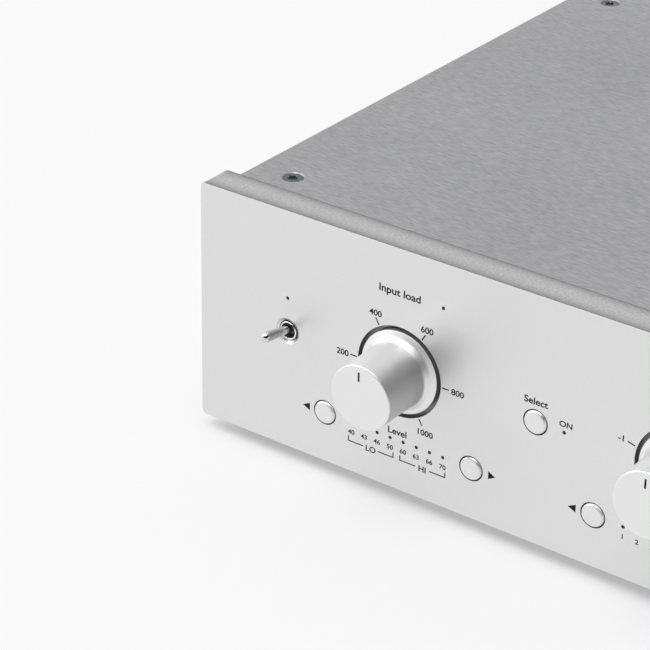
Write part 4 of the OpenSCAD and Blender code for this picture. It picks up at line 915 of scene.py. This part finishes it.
def makeRibbon():
    low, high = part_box("ribbon_cable")
    half = cable["thick"] / 2 * mm
    pitch = (high.x - low.x) / cable["count"]
    bend = cable["bend"] * mm + half
    middle = Vector((0, high.y - half - bend, high.z - half - bend))
    wide = pitch / 2 * cable["overlap"]
    # (point, direction out of the bend)
    path = [(Vector((0, low.y, high.z - half)), Vector((0, 0, 1)))]
    for step in range(cable["bendSteps"] + 1):
        turn = math.pi / 2 * (1 - step / cable["bendSteps"])
        out = Vector((0, math.cos(turn), math.sin(turn)))
        path.append((middle + out * bend, out))
    path.append((Vector((0, high.y - half, low.z)), Vector((0, 1, 0))))
    sides = [2 * math.pi * (side + 0.5) / cable["sides"] for side in range(cable["sides"])]
    rings = [[tuple(point + Vector((wide * math.cos(turn), 0, 0)) + out * half * math.sin(turn))
              for turn in sides] for point, out in path]
    rings = [[tuple(path[0][0])]] + rings + [[tuple(path[-1][0])]]
    places = [(Vector((low.x + pitch * (index + 0.5), 0, 0)), (0, 0, 1)) for index in range(cable["count"])]
    mesh = scattered("ribbon_cable_ribbed", skinRings("conductor", rings), places, materials["flatCable"])
    finishPiece(linkObject("ribbon_cable_ribbed", mesh), "case", "flat_cable", materials["flatCable"],
                "ribbon_cable")


makeRibbon()
print("lenses and ribbon cable made")

# round nodes keep their CAD shape; a merged copy shades smoothly
smoothed = ["front_panel", "feet", "foot_pads", "cover_posts", "shaft_load", "shaft_balance",
            "potentiometers",
            "potentiometer_nuts", "board_standoffs", "front_board_spacers", "electrolytic_capacitors",
            "pin_socket_shells", "pin_socket_contacts", "pin_socket_bushes_white", "pin_socket_bushes_red",
            "pin_socket_cores", "input_socket_shells", "output_socket_shells", "three_pole_cores",
            "three_pole_contacts", "latch_left", "latch_right", "rear_nuts", "earth_stud", "earth_nut",
            "power_socket", "power_pin"]
recordSlots = {part["node"]: part["material_slot"] for part in frame["record"]["subparts"]}
for name in smoothed:
    copied = nodes[name].data.copy()
    faceOutwards(copied)
    piece = linkObject(name + "_smooth", shadeEvenly(copied))
    finishPiece(piece, nodes[name]["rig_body"], recordSlots[name], nodes[name].data.materials[0], name)
print("round nodes smoothed")

# printing is thin prisms, a little proud of the surface; capShare is the capital height over the font's size,
# and bold a share of the capital height
inkMerge = 1e-8
ink = {"proud": 0.02, "sunk": 0.03, "capShare": 0.73, "bold": 0.027, "wide": 1.08, "tick": 0.34, "line": 0.3}

# (text, millimetres right of the centre line, its middle's height above the lower edge, capital height, align)
panelText = [
    ("200", -55.3, 34.0, 1.7, "RIGHT"), ("400", -47.45, 48.3, 1.7, "CENTER"),
    ("600", -32.05, 48.3, 1.7, "CENTER"), ("800", -24.3, 34.0, 1.7, "LEFT"),
    ("1000", -31.6, 19.4, 1.7, "CENTER"), ("100", -48.2, 19.4, 1.7, "CENTER"),
    ("Input load", -40.45, 56.0, 2.1, "CENTER"), ("Level", -39.8, 16.8, 1.9, "CENTER"),
    ("LO", -47.8, 8.8, 1.7, "CENTER"), ("HI", -31.9, 8.8, 1.7, "CENTER"),
    ("Select", -0.2, 39.7, 1.9, "CENTER"), ("ON", 8.45, 36.3, 1.6, "CENTER"),
    ("-1", 24.6, 38.3, 1.7, "RIGHT"), ("+1", 55.2, 38.3, 1.7, "LEFT"), ("0", 39.9, 50.6, 1.7, "CENTER"),
]
rowText = {"left": ["40", "43", "46", "50", "60", "63", "66", "70"],
           "right": ["1", "2", "3", "4", "5", "6", "7", "8"], "up": 11.7, "cap": 1.35}
# (axis millimetres right of the centre line, first and last radius, degrees from three o'clock)
dialTicks = [(-39.9, 12.9, 14.9, (180, 120, 60, 0, -60, -120)), (39.9, 13.1, 15.2, (165, 90, 15))]
# open brackets under the left row: left end, right end, gap for the word
brackets = [(-54.9, -40.7, -50.1, -45.5), (-38.9, -24.9, -34.0, -29.8)]
bracketUps = (10.3, 8.9)
# tip and flat end of each pointer beside the row's buttons
pointers = [(-69.3, -67.1), (-10.4, -12.4), (10.5, 12.7), (69.4, 67.4)]
pointerUps = (13.3, 15.5)
rearText = [("L", -71.7, 18.9, 2.2), ("R", -43.7, 18.9, 2.2), ("IN", -57.7, 58.6, 2.4),
            ("L", 71.7, 18.9, 2.2), ("R", 43.7, 18.9, 2.2), ("OUT", 57.7, 58.6, 2.4),
            ("IN", -18.9, 58.6, 2.0), ("L", -26.6, 45.0, 2.0), ("R", -26.6, 23.6, 2.0),
            ("OUT", 18.9, 58.6, 2.0), ("L", 26.6, 45.0, 2.0), ("R", 26.6, 23.6, 2.0)]


# a flat mesh of one line of text, in the plane x, y, its middle height at zero
def textMesh(text, cap, align):
    data = bpy.data.curves.new("line", "FONT")
    data.body = text
    data.size = cap * mm / ink["capShare"]
    data.align_x = align
    data.resolution_u = 6
    data.offset = ink["bold"] * cap * mm
    data.extrude = (ink["proud"] + ink["sunk"]) / 2 * mm
    mesh = evaluatedMesh(linkObject("line", data))
    middle = Matrix.Translation((0, -cap / 2 * mm, (ink["proud"] - ink["sunk"]) / 2 * mm))
    mesh.transform(middle @ Matrix.Diagonal((ink["wide"], 1, 1, 1)))
    return mesh


# a prism over a flat outline of (x, y) millimetres
def prismMesh(outline):
    low, high = -ink["sunk"] * mm, ink["proud"] * mm
    count = len(outline)
    points = [(x * mm, y * mm, z) for z in (low, high) for x, y in outline]
    faces = [tuple(range(count))[::-1], tuple(range(count, 2 * count))]
    faces += [(i, (i + 1) % count, (i + 1) % count + count, i + count) for i in range(count)]
    mesh = meshFrom("prism", points, faces)
    faceOutwards(mesh)
    return mesh


# turns the plane x, y to the front face or, mirrored round, to the rear one
def toFront(mesh, across, up):
    mesh.transform(Matrix.Translation(onPanel(across, up)) @ Matrix.Rotation(math.pi / 2, 4, "X"))
    return mesh


def toRear(mesh, across, up):
    turn = Matrix.Rotation(math.pi, 4, "Z") @ Matrix.Rotation(math.pi / 2, 4, "X")
    mesh.transform(Matrix.Translation((across * mm, rearFace, up * mm)) @ turn)
    return mesh


def addPrint(name, meshes):
    joined = joinedMesh(name, meshes)
    faceOutwards(joined, inkMerge)
    finishPiece(linkObject(name, joined), "case", "marking_ink", materials["ink"])


def printPanel():
    lines = [toFront(textMesh(text, cap, align), across, up) for text, across, up, cap, align in panelText]
    for side, labels in ((-1, rowText["left"]), (1, rowText["right"])):
        for index, label in enumerate(labels):
            across = side * layout["knob"] + (index - (layout["lampCount"] - 1) / 2) * layout["lampPitch"]
            lines.append(toFront(textMesh(label, rowText["cap"], "CENTER"), across, rowText["up"]))
    addPrint("panel_numbers", lines)
    marks = []
    line = ink["line"]
    upper, lower = bracketUps
    for left, right, gapLeft, gapRight in brackets:
        for end, gap, inward in ((left, gapLeft, line), (right, gapRight, -line)):
            marks.append(prismMesh([
                (end, upper), (end, lower - line / 2), (gap, lower - line / 2), (gap, lower + line / 2),
                (end + inward, lower + line / 2), (end + inward, upper)]))
    for tip, flat in pointers:
        marks.append(prismMesh([(tip, sum(pointerUps) / 2), (flat, pointerUps[0]), (flat, pointerUps[1])]))
    addPrint("panel_marks", [toFront(mark, 0, 0) for mark in marks])
    ticks = []
    for across, first, last, turns in dialTicks:
        half = ink["tick"] / 2
        bar = prismMesh([(-half, first), (half, first), (half, last), (-half, last)])
        bar.transform(Matrix.Rotation(math.pi / 2, 4, "X"))
        centre = onPanel(across, layout["control"])
        places = [(centre, (math.cos(math.radians(turn)), 0, math.sin(math.radians(turn)))) for turn in turns]
        ticks.append(scattered("ticks", bar, places, materials["ink"]))
    addPrint("dial_ticks", ticks)


def printRear():
    addPrint("rear_letters", [toRear(textMesh(text, cap, "CENTER"), across, up)
                              for text, across, up, cap in rearText])


printPanel()
printRear()
print("printing made")

# the floor's share of its own white keeps it pale where the case shades it; what stands closer than contact,
# in millimetres, takes that white away, a painted contact shadow; rays that reach the floor after a second
# reflection find it less white, by a factor that goes through mirrored as the x of their direction goes
# through turn, which paints darker reflections on the metal
floorLook = {"colour": (0.9, 0.9, 0.9), "rough": 0.8, "size": 12.0, "glow": 0.7, "white": 0.97,
             "contact": 5.5, "turn": (-0.25, 0.4), "mirrored": (0.35, 1.0)}


# the glow shows only to the camera and in reflections, so it doesn't light the case
def makeFloor():
    size = floorLook["size"] / 2
    corners = [(-size, -size, 0), (size, -size, 0), (size, size, 0), (-size, size, 0)]
    floor = linkObject("studioFloor", meshFrom("studioFloor", corners, [(0, 1, 2, 3)]))
    material, tree, shader = newMaterial("paperFloor")
    shader.inputs["Base Color"].default_value = shade(floorLook["colour"])
    shader.inputs["Roughness"].default_value = floorLook["rough"]
    shader.inputs["Specular IOR Level"].default_value = 0.0
    path = addNode(tree, "ShaderNodeLightPath").outputs
    incoming = addNode(tree, "ShaderNodeNewGeometry").outputs["Incoming"]
    across = addNode(tree, "ShaderNodeSeparateXYZ", {0: incoming}).outputs["X"]
    # painted shade in reflections: later rays heading one way find the floor darker, which darkens the metal's
    # sides
    mirrored = rangeNode(tree, across, *floorLook["turn"], *floorLook["mirrored"], smooth=True)
    # full for the camera and its first reflection
    early = mathNode(tree, "LESS_THAN", path["Ray Depth"], 1.5)
    strength = mathNode(tree, "MULTIPLY", mathNode(tree, "MAXIMUM", early, mirrored), floorLook["white"])
    glow = addNode(tree, "ShaderNodeEmission", {"Strength": strength})
    seen = mathNode(tree, "MAXIMUM", path["Is Camera Ray"], path["Is Glossy Ray"])
    seen = mathNode(tree, "MAXIMUM", seen, path["Is Transmission Ray"])
    # painted contact shadow: occlusion within contact millimetres of the case takes the floor's white away
    near = addNode(tree, "ShaderNodeAmbientOcclusion", {"Distance": floorLook["contact"] * mm})
    share = mathNode(tree, "MULTIPLY", near.outputs["AO"], floorLook["glow"])
    blend = addNode(tree, "ShaderNodeMixShader", {
        0: mathNode(tree, "MULTIPLY", seen, share), 1: shader.outputs[0], 2: glow.outputs[0]})
    tree.links.new(blend.outputs[0], tree.nodes["Material Output"].inputs[0])
    floor.data.materials.append(material)


lamps = [
    {"name": "sidePanel", "size": (2.2, 2.2), "from": (-2.6, -1.15, 1.5), "watts": 29.5},
    {"name": "topPanel", "size": (2.2, 2.2), "from": (0.05, -1.05, 2.8), "watts": 42.0},
]
aim = Vector((0, 0, 0.03))
# the studio's walls are white but for one dark patch, which fades between two cosines; seen is the background
studio = {"base": 0.71, "seen": 0.92, "patch": 0.0, "towards": (0.66, -0.58, 0.38),
          "edge": 0.32, "full": 0.86}


def makeLamps():
    for look in lamps:
        data = bpy.data.lights.new(look["name"], "AREA")
        data.shape = "RECTANGLE"
        data.size, data.size_y = look["size"]
        data.energy = look["watts"]
        lamp = linkObject(look["name"], data)
        lamp.location = look["from"]
        lamp.rotation_euler = (aim - Vector(look["from"])).to_track_quat("-Z", "Y").to_euler()


def makeStudio():
    world = bpy.data.worlds.new("studioWorld")
    world.use_nodes = True
    tree = world.node_tree
    place = addNode(tree, "ShaderNodeTexCoord")
    facing = addNode(tree, "ShaderNodeVectorMath", {
        0: place.outputs["Generated"], 1: Vector(studio["towards"]).normalized()}, operation="DOT_PRODUCT")
    share = rangeNode(tree, facing.outputs["Value"], studio["edge"], studio["full"], smooth=True)
    strength = addNode(tree, "ShaderNodeMix", {0: share, 2: studio["base"], 3: studio["patch"]},
                       data_type="FLOAT").outputs[0]
    path = addNode(tree, "ShaderNodeLightPath")
    shown = rangeNode(tree, path.outputs["Is Camera Ray"], 0.0, 1.0, strength, studio["seen"])
    tree.links.new(shown, tree.nodes["Background"].inputs[1])
    tree.nodes["Background"].inputs[0].default_value = (1, 1, 1, 1)
    scene.world = world


# azimuth turns to the right from straight ahead; the target is millimetres from the panel's lower left corner
cameraLook = {"azimuth": 35.82, "elevation": 28.22, "roll": 1.07, "distance": 633.94,
              "target": (39.895, 0.0, 39.671), "lens": 139.42, "sensor": 36.0, "clip": 0.01}


def makeCamera():
    turn = math.radians(cameraLook["azimuth"])
    rise = math.radians(cameraLook["elevation"])
    roll = math.radians(cameraLook["roll"])
    back = Vector((math.sin(turn) * math.cos(rise), -math.cos(turn) * math.cos(rise), math.sin(rise)))
    right = Vector((math.cos(turn), math.sin(turn), 0))
    up = back.cross(right)
    rightRolled = right * math.cos(roll) + up * math.sin(roll)
    upRolled = up * math.cos(roll) - right * math.sin(roll)
    data = bpy.data.cameras.new("productCamera")
    data.lens = cameraLook["lens"]
    data.sensor_width = cameraLook["sensor"]
    data.clip_start = cameraLook["clip"]
    camera = linkObject("productCamera", data)
    pose = Matrix((rightRolled, upRolled, back)).transposed().to_4x4()
    pose.translation = panelLow + Vector(cameraLook["target"]) * mm + back * cameraLook["distance"] * mm
    camera.matrix_world = pose
    scene.camera = camera


makeFloor()
makeLamps()
makeStudio()
makeCamera()
scene.view_settings.view_transform = "Standard"
print("floor, lamps, studio and camera set")
